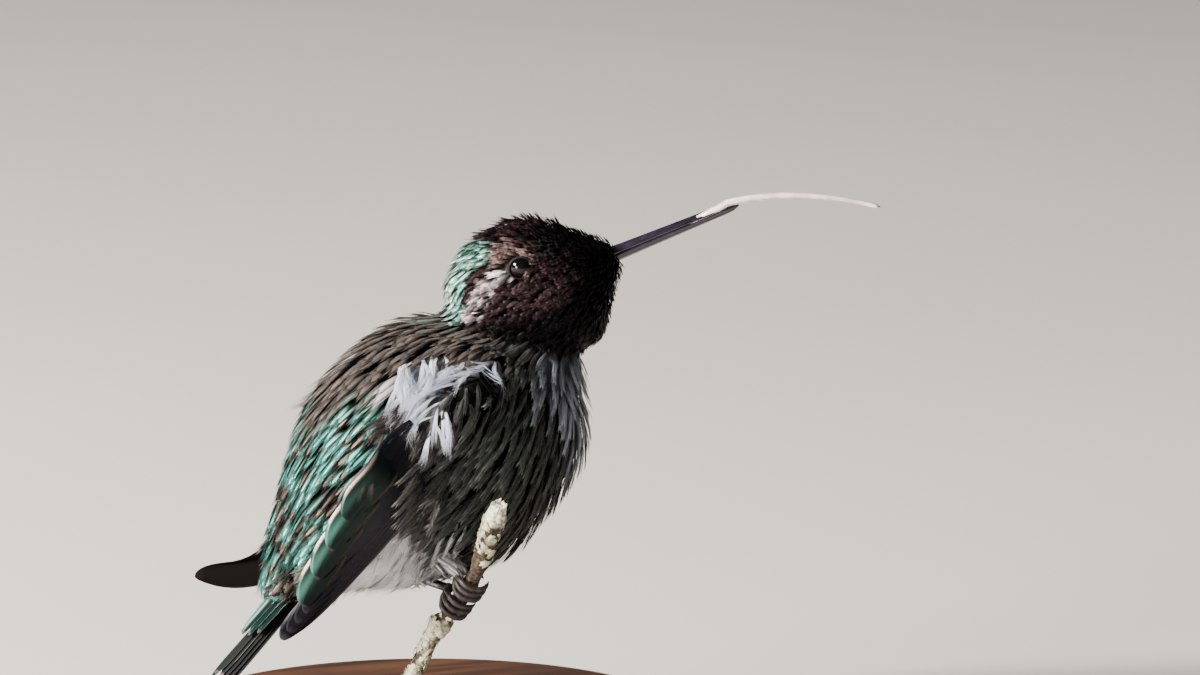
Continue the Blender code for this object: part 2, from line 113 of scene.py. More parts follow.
def head_place(p):
    """Ahead, sideways and up of the middle of the head, and how far above the throat's cut."""
    r = p - HEAD_CENTRE
    return r @ HEAD_AHEAD, np.abs(r @ HEAD_RIGHT), r @ HEAD_UP, (p - HEAD_CUT) @ HEAD_CUT_UP


BILL_BASE = head_point(10.6, 0, -3.4)
print("bill leaves the face at", np.round(BILL_BASE, 1))


# %% [markdown]
# Colours are written as they look on a screen, as hex, and turned to the linear values that light
# adds up in by one function.

# %% Colour and material helpers
def linear(code):
    """An sRGB hex colour as linear red, green and blue."""
    parts = np.array([int(code[i:i + 2], 16) for i in (1, 3, 5)]) / 255
    return np.where(parts <= 0.04045, parts / 12.92, ((parts + 0.055) / 1.055) ** 2.4)


def add_node(tree, kind, inputs=None, stops=(), **settings):
    """Add one node. Inputs hold a socket or a value by name or number; stops are a ramp's colours."""
    node = tree.nodes.new(kind)
    for name, value in settings.items():
        setattr(node, name, value)
    for target, source in (inputs or {}).items():
        if isinstance(source, bpy.types.NodeSocket):
            tree.links.new(source, node.inputs[target])
        else:
            node.inputs[target].default_value = source
    if stops:
        elements = node.color_ramp.elements
        while len(elements) < len(stops):
            elements.new(0.5)
        for element, (place, code) in zip(elements, stops):
            element.position = place
            element.color = (*linear(code), 1)
    return node


def new_material(name, roughness, **shader_inputs):
    """A Principled material with its tree and shader."""
    made = bpy.data.materials.new(name)
    made.use_nodes = True
    tree = made.node_tree
    shader = tree.nodes["Principled BSDF"]
    for key, value in {"Roughness": roughness, **shader_inputs}.items():
        shader.inputs[key.replace("_", " ")].default_value = value
    return made, tree, shader


def wire(tree, shader, colour, height=None, strength=0.0, depth_mm=0.0):
    """Give a shader its colour and, where a height is given, a fine relief."""
    tree.links.new(colour, shader.inputs["Base Color"])
    if height is not None:
        relief = add_node(tree, "ShaderNodeBump",
                          {"Height": height, "Strength": strength, "Distance": depth_mm * MM})
        tree.links.new(relief.outputs["Normal"], shader.inputs["Normal"])


def grained(name, roughness, stops, grains, detail, stretch=None, turn=(0, 0, 0), distortion=0.0,
            strength=0.0, depth_mm=0.0, **shader_inputs):
    """A material whose colour and relief follow one noise; grains is their number to the metre."""
    made, tree, shader = new_material(name, roughness, **shader_inputs)
    place = add_node(tree, "ShaderNodeTexCoord").outputs["Object"]
    if stretch:
        place = add_node(tree, "ShaderNodeMapping",
                         {"Vector": place, "Rotation": turn, "Scale": stretch}).outputs["Vector"]
    noise = add_node(tree, "ShaderNodeTexNoise", {"Vector": place, "Scale": grains, "Detail": detail,
                                                  "Distortion": distortion}).outputs["Fac"]
    tone = add_node(tree, "ShaderNodeValToRGB", {"Fac": noise}, stops)
    wire(tree, shader, tone.outputs["Color"], noise if strength else None, strength, depth_mm)
    return made


print("black and white as light", linear("#000000"), linear("#ffffff"))

# %% [markdown]
# A feather's colour rides on the mesh as a colour attribute called markings, worked out from where on
# the bird the feather is rooted. Barbs are too fine to show, so the shader draws them as clumps about a
# tenth of a millimetre apart, slanting out from the shaft, from the feather's own vane map.
# Down is matt with a soft sheen. Iridescent barbs are flat plates that mirror one colour, so they are
# part metallic. Flight feathers are harder and smoother.

# %% Feather materials
BARB_CLUMP = 0.11  # mm from one clump of barbs to the next
BARB_SLANT = 1.1  # mm that a barb runs towards the tip for each mm out from the shaft


def feather_material(name, roughness, metallic, sheen_and_painted_highlight, gloss, barb_depth, barb_tone):
    """Barbs in slanting clumps over the markings; the tone darkens the clefts between them."""
    made, tree, shader = new_material(name, roughness, Metallic=metallic, Sheen_Weight=sheen_and_painted_highlight,
                                      Sheen_Roughness=0.45, Specular_IOR_Level=gloss)
    vane = add_node(tree, "ShaderNodeUVMap", uv_map="vane")
    split = add_node(tree, "ShaderNodeSeparateXYZ", {"Vector": vane.outputs["UV"]})
    out = add_node(tree, "ShaderNodeMath", {0: split.outputs["Y"]}, operation="ABSOLUTE")
    slant = add_node(tree, "ShaderNodeMath", {0: out.outputs[0], 1: -BARB_SLANT, 2: split.outputs["X"]},
                     operation="MULTIPLY_ADD")
    fine = add_node(tree, "ShaderNodeMath", {0: slant.outputs[0], 1: math.tau / BARB_CLUMP},
                    operation="MULTIPLY")
    wave = add_node(tree, "ShaderNodeMath", {0: fine.outputs[0]}, operation="SINE")
    soft = add_node(tree, "ShaderNodeMapRange",
                    {"Value": wave.outputs[0], "From Min": -1, "To Min": 1 - barb_tone})
    markings = add_node(tree, "ShaderNodeAttribute", attribute_name="markings")
    mixed = add_node(tree, "ShaderNodeMix",
                     {"Factor": 1.0, 6: markings.outputs["Color"], 7: soft.outputs["Result"]},
                     data_type="RGBA", blend_type="MULTIPLY")
    wire(tree, shader, mixed.outputs[2], wave.outputs[0], barb_depth, 0.012)
    return made


# Loose barbs scatter light: matt, with a faint bloom at the edge.
DOWN = feather_material("downy feather, soft barbs", 0.85, 0.0, 0.15, 0.2, 0.2, 0.1)
# Closed vanes are a little smoother, and their barbs show as lines.
CONTOUR = feather_material("contour feather, keratin barbs", 0.6, 0.0, 0.08, 0.35, 0.4, 0.28)
# Flat barbules shine like tinted metal.
IRIDESCENT = feather_material("iridescent feather, mirror-like barbules", 0.32, 0.6, 0.0, 0.35, 0.5,
                              0.35)
# The throat's barbules mirror light forwards only, so from the side they stay nearly black.
GORGET = feather_material("gorget scale, dark away from the light", 0.4, 0.5, 0.0, 0.14, 0.5, 0.35)
# Stiff hooked vanes give a smooth, faint gloss.
FLIGHT = feather_material("flight feather, smooth hard vane", 0.45, 0.0, 0.0, 0.25, 0.25, 0.2)
print("feather materials", [m.name for m in (DOWN, CONTOUR, IRIDESCENT, GORGET, FLIGHT)])


# %% [markdown]
# One helper turns arrays into a finished piece: it moves the points into the shared frame, stores the
# markings, the vane map and the bake map, and lets the piece ride on the one rigid body.

# %% Make a piece from arrays
def add_piece(name, points, faces, material, replaces=(), markings=None, vane=None,
              bake=None):
    """A mesh object at the origin, with its place in its mesh. Faces are rows of corner numbers."""
    points = np.asarray(points, float)
    faces = np.asarray(faces, np.int32)
    mesh = bpy.data.meshes.new(name)
    mesh.vertices.add(len(points))
    mesh.vertices.foreach_set("co", ((points + ZERO) * MM).astype(np.float32).ravel())
    corners = faces.shape[1]
    mesh.loops.add(faces.size)
    mesh.loops.foreach_set("vertex_index", faces.ravel())
    mesh.polygons.add(len(faces))
    mesh.polygons.foreach_set("loop_start", np.arange(0, faces.size, corners, dtype=np.int32))
    mesh.update(calc_edges=True)
    mesh.polygons.foreach_set("use_smooth", np.full(len(faces), True))
    if markings is not None:
        layer = mesh.color_attributes.new("markings", "FLOAT_COLOR", "POINT")
        rgba = np.ones((len(points), 4), np.float32)
        rgba[:, :3] = markings
        layer.data.foreach_set("color", rgba.ravel())
    for label, values in (("OFBake", bake), ("vane", vane)):
        if values is not None:
            uv = mesh.uv_layers.new(name=label)
            uv.data.foreach_set("uv", np.asarray(values, np.float32)[faces.ravel()].ravel())
    mesh.materials.append(material)
    return settle_piece(bpy.data.objects.new(name, mesh), replaces)


def settle_piece(obj, replaces=()):
    """Link a piece, let it ride on the body and hide the solids it stands for."""
    obj.name = obj.name.replace(" ", "_")
    bpy.context.scene.collection.objects.link(obj)
    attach(obj, "root")
    if replaces:
        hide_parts(*replaces)
    return obj


def add_bmesh_piece(name, bm, material, replaces=()):
    """A piece from a bmesh drawn in the bird's millimetres."""
    bmesh.ops.recalc_face_normals(bm, faces=bm.faces)
    bmesh.ops.translate(bm, verts=bm.verts, vec=Vector(ZERO))
    bmesh.ops.scale(bm, verts=bm.verts, vec=(MM, MM, MM))
    mesh = bpy.data.meshes.new(name)
    bm.to_mesh(mesh)
    bm.free()
    mesh.polygons.foreach_set("use_smooth", np.full(len(mesh.polygons), True))
    mesh.materials.append(material)
    print(name, len(mesh.polygons), "faces")
    return settle_piece(bpy.data.objects.new(name, mesh), replaces)


# %% [markdown]
# Long round parts are drawn as one ring of points pulled along a path, like clay through a die. The ring
# may be flattened, and its size may change at every step, which gives scales, knots and tapers. Round
# parts with an axis are turned instead, as on a lathe.

# %% Pull a ring along a path, or turn a profile
def merge_into(target, part):
    """Add one bmesh to another."""
    spare = bpy.data.meshes.new("spare")
    part.to_mesh(spare)
    part.free()
    target.from_mesh(spare)
    bpy.data.meshes.remove(spare)


def turned(profile, steps, closed=False):
    """(radius, height) pairs turned once round the upright axis; closed joins the last to the first."""
    bm = bmesh.new()
    corners = [bm.verts.new((r, 0, h)) for r, h in profile]
    following = corners[1:] + corners[:1] if closed else corners[1:]
    lines = [bm.edges.new(pair) for pair in zip(corners, following)]
    bmesh.ops.spin(bm, geom=corners + lines, cent=(0, 0, 0), axis=(0, 0, 1), angle=math.tau, steps=steps,
                   use_merge=True)
    bmesh.ops.remove_doubles(bm, verts=bm.verts, dist=1e-4)
    return bm


def cut_off(bm, place, direction):
    """Cut away what lies beyond a plane and close the cut."""
    cut = bmesh.ops.bisect_plane(bm, geom=bm.verts[:] + bm.edges[:] + bm.faces[:], plane_co=place,
                                 plane_no=direction, clear_outer=True)
    rim = [g for g in cut["geom_cut"] if isinstance(g, bmesh.types.BMEdge)]
    bmesh.ops.contextual_create(bm, geom=rim)


def sweep(path, radii, sides, flat=1.0, flat_axis=(0.31, 0.87, 0.38), shape=None):
    """A closed tube along a path; flat squeezes it on flat_axis; shape(k, angle) swells each point."""
    path = [np.array(p, float) for p in path]
    runs = [unit(path[min(k + 1, len(path) - 1)] - path[max(k - 1, 0)]) for k in range(len(path))]
    axis = np.array(flat_axis)
    bm = bmesh.new()
    ring = bmesh.ops.create_circle(bm, cap_ends=True, segments=sides, radius=1.0)["verts"]
    angles = {v: math.atan2(v.co.y, v.co.x) for v in ring}
    edges = [e for e in bm.edges if all(v in angles for v in e.verts)]

    def place(verts, k):
        first = unit(axis - runs[k] * np.dot(axis, runs[k]))
        second = np.cross(runs[k], first)
        for v in verts:
            a = angles[v]
            grow = radii[k] * (shape(k, a) if shape else 1.0)
            v.co = path[k] + first * math.cos(a) * grow * flat + second * math.sin(a) * grow

    place(ring, 0)
    ordered = ring
    for k in range(1, len(path)):
        made = bmesh.ops.extrude_edge_only(bm, edges=edges)["geom"]
        fresh = [g for g in made if isinstance(g, bmesh.types.BMVert)]
        edges = [g for g in made if isinstance(g, bmesh.types.BMEdge)
                 and all(v in fresh for v in g.verts)]
        for v in fresh:
            near = min(ordered, key=lambda o: (o.co - v.co).length)
            angles[v] = angles[near]
        place(fresh, k)
        ordered = fresh
    bmesh.ops.contextual_create(bm, geom=edges)
    bmesh.ops.recalc_face_normals(bm, faces=bm.faces)
    return bm


# %% [markdown]
# Each folded wing lies along a curve from the shoulder to the tip, bent round the body across its width.

# %% Line of each wing
WING_LINES = {
    "right": ((4.0, -15.4, 47.0), (-8.0, -16.0, 40.4), (-15.4, -13.8, 28.0), (-21.6, -7.6, 17.0)),
    "left": ((4.0, 15.4, 47.0), (-4.0, 16.8, 34.0), (-6.0, 16.2, 18.6), (-26.2, 9.4, 22.4)),
}
WING_HALF, WING_CURL = 5.0, 15.0  # half width, and the radius it is bent to


def bezier(line, t):
    """A place on a cubic curve."""
    a, b, c, d = (np.array(p) for p in line)
    return a * (1 - t) ** 3 + 3 * b * t * (1 - t) ** 2 + 3 * c * t * t * (1 - t) + d * t ** 3


def wing_frame(wing, t):
    """At t along a wing: its middle, its run, outward and across directions, and its half width."""
    line = WING_LINES[wing]
    t = min(max(t, 0.0), 1.0)
    out = np.array([0.0, -1.0 if wing == "right" else 1.0, 0.0])
    along = unit(bezier(line, min(t + 0.01, 1)) - bezier(line, max(t - 0.01, 0)))
    normal = unit(out - along * np.dot(out, along))
    across = np.cross(along, normal)
    if across[2] < 0:
        across = -across
    swell = min(1.0, 0.62 + 1.9 * t) * (1 - max(0.0, (t - 0.42) / 0.62) ** 2.1)
    return bezier(line, t), along, normal, across, max(WING_HALF * swell, 0.9)


print("wings from shoulder to tip", {wing: round(math.dist(line[0], line[3]), 1)
                                     for wing, line in WING_LINES.items()}, "mm")


# %% [markdown]
# ## The skin
# Under the coat the bird has one unbroken skin. It is made from copies of the flesh solids, joined by a
# voxel remesh that closes the thin cuts between them, then drawn in by the depth of the coat: deep on
# the belly, shallow on the face. The folded arm, down to the wrist, is under the same skin, so that body
# feathers close over the shoulder. The feathers are planted on it.

# %% Copies of the flesh solids
FLESH = ("head", "neck", "trunk", "leg_right", "leg_left")
ARM_END = 0.36  # the wrist, as a share of the wing's length
ARM_STATIONS = 12


def solid_copy(node):
    """A merged copy of one solid in the bird's millimetres; the solid itself is left alone."""
    bm = bmesh.new()
    bm.from_mesh(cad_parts[node].data)
    bmesh.ops.remove_doubles(bm, verts=bm.verts, dist=1e-6)
    bmesh.ops.scale(bm, verts=bm.verts, vec=(1 / MM,) * 3)
    bmesh.ops.translate(bm, verts=bm.verts, vec=Vector(-ZERO))
    return bm


def beyond_wrist(wing):
    """A copy of one wing solid without its arm."""
    part = solid_copy("wing_" + wing)
    place, along, _, _, _ = wing_frame(wing, ARM_END)
    bmesh.ops.bisect_plane(part, geom=part.verts[:] + part.edges[:] + part.faces[:], plane_co=place,
                           plane_no=along, clear_inner=True)
    bmesh.ops.holes_fill(part, edges=[e for e in part.edges if e.is_boundary])
    return part


def arm(wing):
    """The folded arm, a flattened round sunk into the side of the body so that the skin runs over it."""
    frames = [wing_frame(wing, t) for t in np.linspace(0.0, ARM_END, ARM_STATIONS)]
    shares = np.linspace(0, 1, ARM_STATIONS)
    path = [place - normal * 2.3 for place, _, normal, _, _ in frames]
    radii = [half * (0.75 + 0.3 * math.sin(math.pi * min(1.0, 0.2 + x))) * (1 - 0.5 * x ** 4)
             for x, (_, _, _, _, half) in zip(shares, frames)]
    return sweep(path, radii, 20, flat=0.62, flat_axis=frames[ARM_STATIONS // 2][2])


def flesh_copy():
    """The flesh solids, the arms and filled eye sockets in one bmesh, swollen so that they meet."""
    bm = bmesh.new()
    for node in FLESH:
        merge_into(bm, solid_copy(node))
    for hand in (-1, 1):
        merge_into(bm, arm("right" if hand > 0 else "left"))
        ball = bmesh.ops.create_uvsphere(bm, u_segments=20, v_segments=14, radius=1.95)["verts"]
        bmesh.ops.translate(bm, verts=ball, vec=Vector(head_point(0, hand * 5.9, 0)))
    bm.normal_update()
    for v in bm.verts:
        v.co += v.normal * 0.3
    return bm


flesh_bm = flesh_copy()
print("flesh", len(flesh_bm.verts), "points")

# %% [markdown]
# A voxel remesh wraps the flesh in one closed surface, with points about half a millimetre apart. It is
# smoothed, then each point moves in along its normal by the coat's depth there.

# %% Wrap the flesh and draw the skin in
VOXEL = 0.45  # mm


def voxel_join(bm):
    """One closed surface round everything in a bmesh."""
    mesh = bpy.data.meshes.new("joining")
    bm.to_mesh(mesh)
    bm.free()
    obj = bpy.data.objects.new("joining", mesh)
    bpy.context.scene.collection.objects.link(obj)
    step = obj.modifiers.new("join", "REMESH")
    step.mode = "VOXEL"
    step.voxel_size = VOXEL
    graph = bpy.context.evaluated_depsgraph_get()
    done = bpy.data.meshes.new_from_object(obj.evaluated_get(graph))
    bpy.data.objects.remove(obj)
    out = bmesh.new()
    out.from_mesh(done)
    bpy.data.meshes.remove(done)
    return out


def coat_depth(p):
    """How far the feather tips stand out from the skin."""
    run, _, angle = trunk_place(p)
    ahead, _, up, above = head_place(p)
    body = 1.25 + 0.5 * smooth(95, 130, angle) * smooth(24, 14, run) + 0.25 * smooth(40, 20, angle)
    body = body * smooth(-2, 6, run) + 0.4
    face = 0.45 + 0.5 * smooth(4, -8, ahead) + 0.35 * smooth(-5, -10, up)
    share = smooth(-1.0, 2.5, above)
    return body * (1 - share) + face * share


def relax(bm, verts, times):
    """Smooth some points of a bmesh a number of times."""
    for _ in range(times):
        bmesh.ops.smooth_vert(bm, verts=verts, factor=0.5, use_axis_x=True, use_axis_y=True,
                              use_axis_z=True)


skin_bm = voxel_join(flesh_bm)
relax(skin_bm, skin_bm.verts, 4)
skin_bm.normal_update()
points = np.array([v.co[:] for v in skin_bm.verts])
normals = np.array([v.normal[:] for v in skin_bm.verts])
thick_tree = BVHTree.FromBMesh(skin_bm)
across = [thick_tree.ray_cast(Vector(p - n * 0.05), Vector(-n))[3] or 20.0
          for p, n in zip(points, normals)]
# A thin part, such as a shank, is drawn in by no more than a third of its own thickness.
points -= normals * np.minimum(0.3 + coat_depth(points), np.array(across) * 0.34)[:, None]
for v, co in zip(skin_bm.verts, points):
    v.co = co
relax(skin_bm, skin_bm.verts, 3)
print("coat from", round(float(coat_depth(points).min()), 2), "to",
      round(float(coat_depth(points).max()), 2), "mm deep")


# %% [markdown]
# To lay feathers on a surface, two things are asked of it at any place: where the nearest point of it
# is, and which way it faces there. A search tree answers both quickly. The coat is laid over the folded
# wings too, so there is one surface with them and one without.

# %% Surfaces that feathers are laid on
class Surface:
    """Triangles that feathers can be laid on."""

    def __init__(self, bm):
        bmesh.ops.triangulate(bm, faces=bm.faces)
        bm.normal_update()
        bm.verts.index_update()
        self.points = np.array([v.co[:] for v in bm.verts])
        self.normals = np.array([v.normal[:] for v in bm.verts])
        self.faces = np.array([[v.index for v in f.verts] for f in bm.faces])
        self.tree = BVHTree.FromPolygons(self.points.tolist(), self.faces.tolist())

    def nearest(self, p):
        """The nearest place and the smooth normal there."""
        hit, _, face, _ = self.tree.find_nearest(Vector(p))
        corners = self.faces[face]
        weights = 1 / (np.linalg.norm(self.points[corners] - np.array(hit), axis=1) + 1e-3)
        return np.array(hit), unit((self.normals[corners] * weights[:, None]).sum(axis=0))


SKIN = Surface(skin_bm)
for wing in ("right", "left"):
    merge_into(skin_bm, beyond_wrist(wing))
BODY = Surface(skin_bm)
skin_bm.free()
print("skin", len(SKIN.points), "points", len(SKIN.faces), "faces")


# %% [markdown]
# ## Markings
# An adult male wears a dark rose crown and throat that look nearly black out of the light, a teal-green
# nape and back, brown feathers with buff edges over the shoulders, grey underparts washed green at the
# sides, white under the tail, and a white spot behind the eye. Some light is painted into these tones:
# glints on the rims of the head's scales, a pale nape, and painted shade in the brown down the back's
# mid line and in the darker underparts. The same function colours the skin.

# %% Markings by place on the bird
# Each glint tone is a painted highlight, laid on the rims of the head's scales.
TONES = {name: linear(code) for name, code in {
    "gorget": "#060406", "gorget_painted_glint": "#150b10", "crown": "#180f13", "crown_painted_glint": "#573240",
    "cheek": "#1f151a", "cheek_painted_glint": "#7d5a61", "face_pale": "#7d6663", "spot": "#d9d3d8",
    "streak": "#a89ba2", "nape": "#9decdf", "nape_edge": "#c9b1a4", "brown": "#151111",
    "brown_edge": "#8f7a6e", "green": "#429f9a", "green_edge": "#b39a8b", "flank": "#131916",
    "flank_edge": "#6f7873", "breast": "#7f8596", "breast_edge": "#c6cad6", "belly": "#333231",
    "belly_edge": "#807d77", "vent": "#fbfcff", "vent_edge": "#ffffff",
}.items()}
print(len(TONES), "tones")

# %% [markdown]
# A marking is a soft-edged area, painted over the ones before it. Some are ellipses; the white tuft is a
# triangle on the opened-out skin.

# %% Areas of the markings
def blob(x, y, x0, y0, rx, ry, soft=0.5):
    """1 inside an ellipse, falling softly to 0 outside it."""
    return smooth(1 + soft, 1 - soft * 0.5, np.sqrt(((x - x0) / rx) ** 2 + ((y - y0) / ry) ** 2))


TUFT_AREA = ((29.4, 20.0), (37.8, 46.0), (22.6, 65.0))  # corners: along the trunk, and round it


def inside(x, y, corners):
    """Which places lie inside a triangle."""
    signs = [(x - x0) * (y1 - y0) - (y - y0) * (x1 - x0)
             for (x0, y0), (x1, y1) in zip(corners, corners[1:] + corners[:1])]
    return (np.min(signs, axis=0) > 0) | (np.max(signs, axis=0) < 0)


def markings_at(p):
    """Body and edge colours, and iridescence, which sets a painted highlight, for places on the skin."""
    p = np.atleast_2d(p)
    run, _, angle = trunk_place(p)
    ahead, side, up, above = head_place(p)
    body = np.tile(TONES["belly"], (len(p), 1))
    edge = np.tile(TONES["belly_edge"], (len(p), 1))

    def paint(name, edge_name, amount):
        """Lay one pair of tones over the rest."""
        amount = np.asarray(amount, float)[:, None]
        body[:] = body * (1 - amount) + TONES[name] * amount
        edge[:] = edge * (1 - amount) + TONES[edge_name] * amount

    # The trunk: grey below and washed dark at the sides, both toned darker as painted shade; a pale
    # chest painted blue-grey, as white looks in shade; white under the tail.
    paint("flank", "flank_edge", smooth(142, 112, angle))
    border = 64 - 13 * smooth(20, 27, run)
    back = smooth(border + 6, border - 6, angle)
    # Near the mid line the brown runs further tailwards: painted shade over green seen out of the light.
    forward = smooth(23.5, 29, run + 6.5 * smooth(30, 4, angle))
    paint("green", "green_edge", back * (1 - forward))
    brown = back * forward
    paint("brown", "brown_edge", brown)
    paint("vent", "vent_edge", smooth(20, 16.5, run) * smooth(84, 94, angle) * smooth(2, 5, run))
    chest = smooth(38.5, 41.5, run + 0.04 * np.maximum(angle - 100, 0)) * smooth(58, 70, angle)
    paint("breast", "breast_edge", chest)
    painted_highlight = back * (1 - brown) * (1 - chest)

    tuft = inside(run, angle, TUFT_AREA)
    paint("vent", "vent_edge", 0.45 * tuft)
    painted_highlight = painted_highlight * ~tuft

    # The head: gorget and crown of the same dark rose with painted glints on the scale rims, teal nape,
    # pale line behind the eye.
    on_head = smooth(-0.6, 0.4, above) * smooth(-9.2, -7.0, ahead + 0.35 * np.minimum(up + 4, 0) + side)
    paint("gorget", "gorget_painted_glint", on_head)
    on_side = smooth(2.6, 4.2, side)
    crown = on_head * smooth(1.2, 2.4, up + 0.1 * ahead)
    paint("crown", "crown_painted_glint", crown)
    cheek = on_head * on_side * blob(ahead, up, 0.6, -3.0, 5.4, 2.6)
    paint("cheek", "cheek_painted_glint", cheek * 0.9)
    # The nape's teal is painted pale, with the light that falls on it painted into its colour.
    behind = smooth(-5.4, -6.6, ahead - 0.64 * up)
    band = smooth(4.4, 3.4, up - 0.18 * (ahead + 4)) * smooth(-5.6, -3.4, up)
    nape = on_head * np.maximum(behind * band, on_side * blob(ahead, up, -3.6, 2.6, 2.4, 0.75))
    paint("nape", "nape_edge", nape)
    tan = 0.6 * nape * smooth(4.4, 2.0, side) * smooth(4.0, 1.0, up)
    paint("nape_edge", "nape_edge", tan)
    ear = on_head * on_side * blob(ahead - 0.5 * up, up, -5.2, 0.3, 1.2, 1.9)
    paint("crown", "crown_painted_glint", ear)
    streak = on_head * on_side * blob(ahead - 1.25 * (up + 1.6), up, -4.5, -2.1, 1.25, 2.2)
    paint("streak", "spot", streak)
    ring = np.hypot(ahead + 0.2, (up - 0.1) * 1.1)
    arc = on_head * on_side * smooth(3.4, 2.8, ring) * smooth(-0.4, 1.0, up + 0.35 * ahead)
    paint("face_pale", "face_pale", arc * 0.8)
    spot = on_head * on_side * blob(ahead + 0.6 * up, up, -2.3, -0.5, 0.5, 0.6)
    paint("spot", "spot", spot)
    # The painted highlight goes on the green back and, on the head, on the nape less its ear and streak.
    painted_highlight = painted_highlight * (1 - on_head) + nape * (1 - ear) * (1 - streak)
    return body, edge, np.clip(painted_highlight, 0, 1)


skin_body, _, _ = markings_at(SKIN.points)
print("skin tones", np.round(skin_body.mean(axis=0), 3))


# %% [markdown]
# The bake map puts each feather at its root's place on the skin opened out like a sleeve: once round
# the body across, tail to crown up. A feather is a patch about 0.003 wide there. Real skin under the
# coat is matt and mottled, so a noise about a millimetre wide darkens the markings.

# %% Unwrap of the skin's own shape
def sleeve(p):
    """Place of points on the opened-out skin, from 0 to 1 both ways."""
    p = np.atleast_2d(p)
    run, _, _ = trunk_place(p)
    _, _, _, above = head_place(p)
    r = p - TAIL_END
    around = np.arctan2(p[:, 1] + 2.5 * smooth(40, 52, run), r @ BACKWARD_UP + 2.0)
    top = smooth(-2, 3, above)
    head_r = p - HEAD_CENTRE
    around_head = np.arctan2(-(head_r @ HEAD_RIGHT), head_r @ HEAD_UP + 4.0)
    low = 0.02 + 0.5 * np.clip((run + 3) / 52, 0, 1)
    high = 0.56 + 0.42 * np.clip((head_r @ HEAD_AHEAD + 13) / 26, 0, 1)
    across = np.where(top > 0.5, around_head, around) / (2 * math.pi) + 0.5
    return np.column_stack([0.02 + 0.96 * across, np.where(top > 0.5, high, low)])


# Thin dry skin has no shine; between the feathers it should pass for their shade.
skin_look, skin_tree, skin_shader = new_material("bird skin, thin and matt", 0.95,
                                                 Specular_IOR_Level=0.1)
skin_tone = add_node(skin_tree, "ShaderNodeAttribute", attribute_name="markings")
skin_place = add_node(skin_tree, "ShaderNodeTexCoord")
skin_grain = add_node(skin_tree, "ShaderNodeTexNoise",
                      {"Vector": skin_place.outputs["Object"], "Scale": 900.0, "Detail": 3.0})
skin_mix = add_node(skin_tree, "ShaderNodeMix",
                    {"Factor": 0.5, 6: skin_tone.outputs["Color"], 7: skin_grain.outputs["Fac"]},
                    data_type="RGBA", blend_type="MULTIPLY")
wire(skin_tree, skin_shader, skin_mix.outputs[2])
# Dark skin is darkened most, as if in the coat's shade.
skin_shade = 0.35 + 0.5 * smooth(0.3, 0.7, skin_body.mean(axis=1))
add_piece("skin", SKIN.points, SKIN.faces, skin_look, FLESH,
          skin_body * skin_shade[:, None], bake=sleeve(SKIN.points))


# %% [markdown]
# ## Where feathers grow and which way they lie
# On the head feathers stream away from the bill and part round the eyes. On the trunk they point to the
# tail, and over the shoulders they droop. Raised plumes simply hang.

# %% The lie of the coat
EYES = [head_point(0, hand * 6.6, 0) for hand in (-1, 1)]


def lie_at(p, normal):
    """Unit direction, along the skin, in which a feather rooted at p points."""
    from_bill = unit(p - BILL_BASE)
    distance = np.linalg.norm(p - BILL_BASE)
    share = float(smooth(15.0, 23.0, distance))
    tailward = -ALONG + np.array([0, 0, -0.25]) * float(smooth(20, 32, (p - TAIL_END) @ ALONG))
    flow = from_bill * (1 - share) + unit(tailward) * share
    for eye in EYES:
        away = p - eye
        flow = flow + unit(away) * 1.6 * math.exp(-(np.linalg.norm(away) / 1.9) ** 4)
    flow = flow - normal * np.dot(flow, normal)
    return unit(flow)


def hang_at(p, normal):
    """A lie that falls more steeply than the rest of the coat, for raised plumes."""
    flow = -ALONG * 0.35 + np.array([-0.15, 0, -1.0])
    return unit(flow - normal * np.dot(flow, normal))


print("lie at the crown", np.round(lie_at(head_point(0, 0, 8.0), HEAD_UP), 2))

# %% [markdown]
# Roots are scattered so that none is nearer to the next than a set spacing, as real feather tracts are
# evenly filled; the spacing is closest on the face. Places are drawn at random on the skin, and one that
# stands too near to a kept one is dropped.

# %% Scatter the roots
CELL = 1.1  # mm, a little more than the widest spacing


def spacing_at(p):
    """Distance between roots in mm."""
    near = np.linalg.norm(p - BILL_BASE, axis=-1)
    head = 0.36 + 0.26 * smooth(2, 16, near)
    _, _, angle = trunk_place(p)
    body = 0.98 + 0.1 * smooth(100, 120, angle)
    share = smooth(-2.5, 0.5, head_place(p)[3])
    return body * (1 - share) + head * share


def is_clear(spot, gap, cell, cells):
    """Whether no kept root stands nearer than the gap; only the cells round the spot are asked."""
    for dx, dy, dz in product((-1, 0, 1), repeat=3):
        for other in cells.get((cell[0] + dx, cell[1] + dy, cell[2] + dz), ()):
            if math.dist(spot, other) < gap:
                return False
    return True


def scatter_roots():
    """Places on the skin that keep their spacing, in a fixed random order."""
    corners = SKIN.points[SKIN.faces]
    first, second = corners[:, 1] - corners[:, 0], corners[:, 2] - corners[:, 0]
    areas = np.linalg.norm(np.cross(first, second), axis=1) / 2
    weight = areas / spacing_at(corners.mean(axis=1)) ** 2
    count = int(weight.sum() * 5)
    faces = rng.choice(len(areas), count, p=weight / weight.sum())
    a, b = rng.random(count), rng.random(count)
    flip = a + b > 1
    a[flip], b[flip] = 1 - a[flip], 1 - b[flip]
    spots = corners[faces, 0] + a[:, None] * first[faces] + b[:, None] * second[faces]
    cells = {}
    kept = []
    for i, (spot, gap) in enumerate(zip(spots.tolist(), spacing_at(spots).tolist())):
        cell = tuple(int(v // CELL) for v in spot)
        if is_clear(spot, gap, cell, cells):
            cells.setdefault(cell, []).append(spot)
            kept.append(i)
    return spots[kept]


ROOTS = scatter_roots()
print("feather roots", len(ROOTS))


# %% [markdown]
# ## Feather shapes
# Each kind of feather is drawn once, flat: x runs 0 to 1 along it, y is -1 to 1 across it, z is its
# height. A vane is a thin closed blade; barbs are closed splinters that taper to a point. The smallest
# kinds have the fewest faces, because there are most of them.

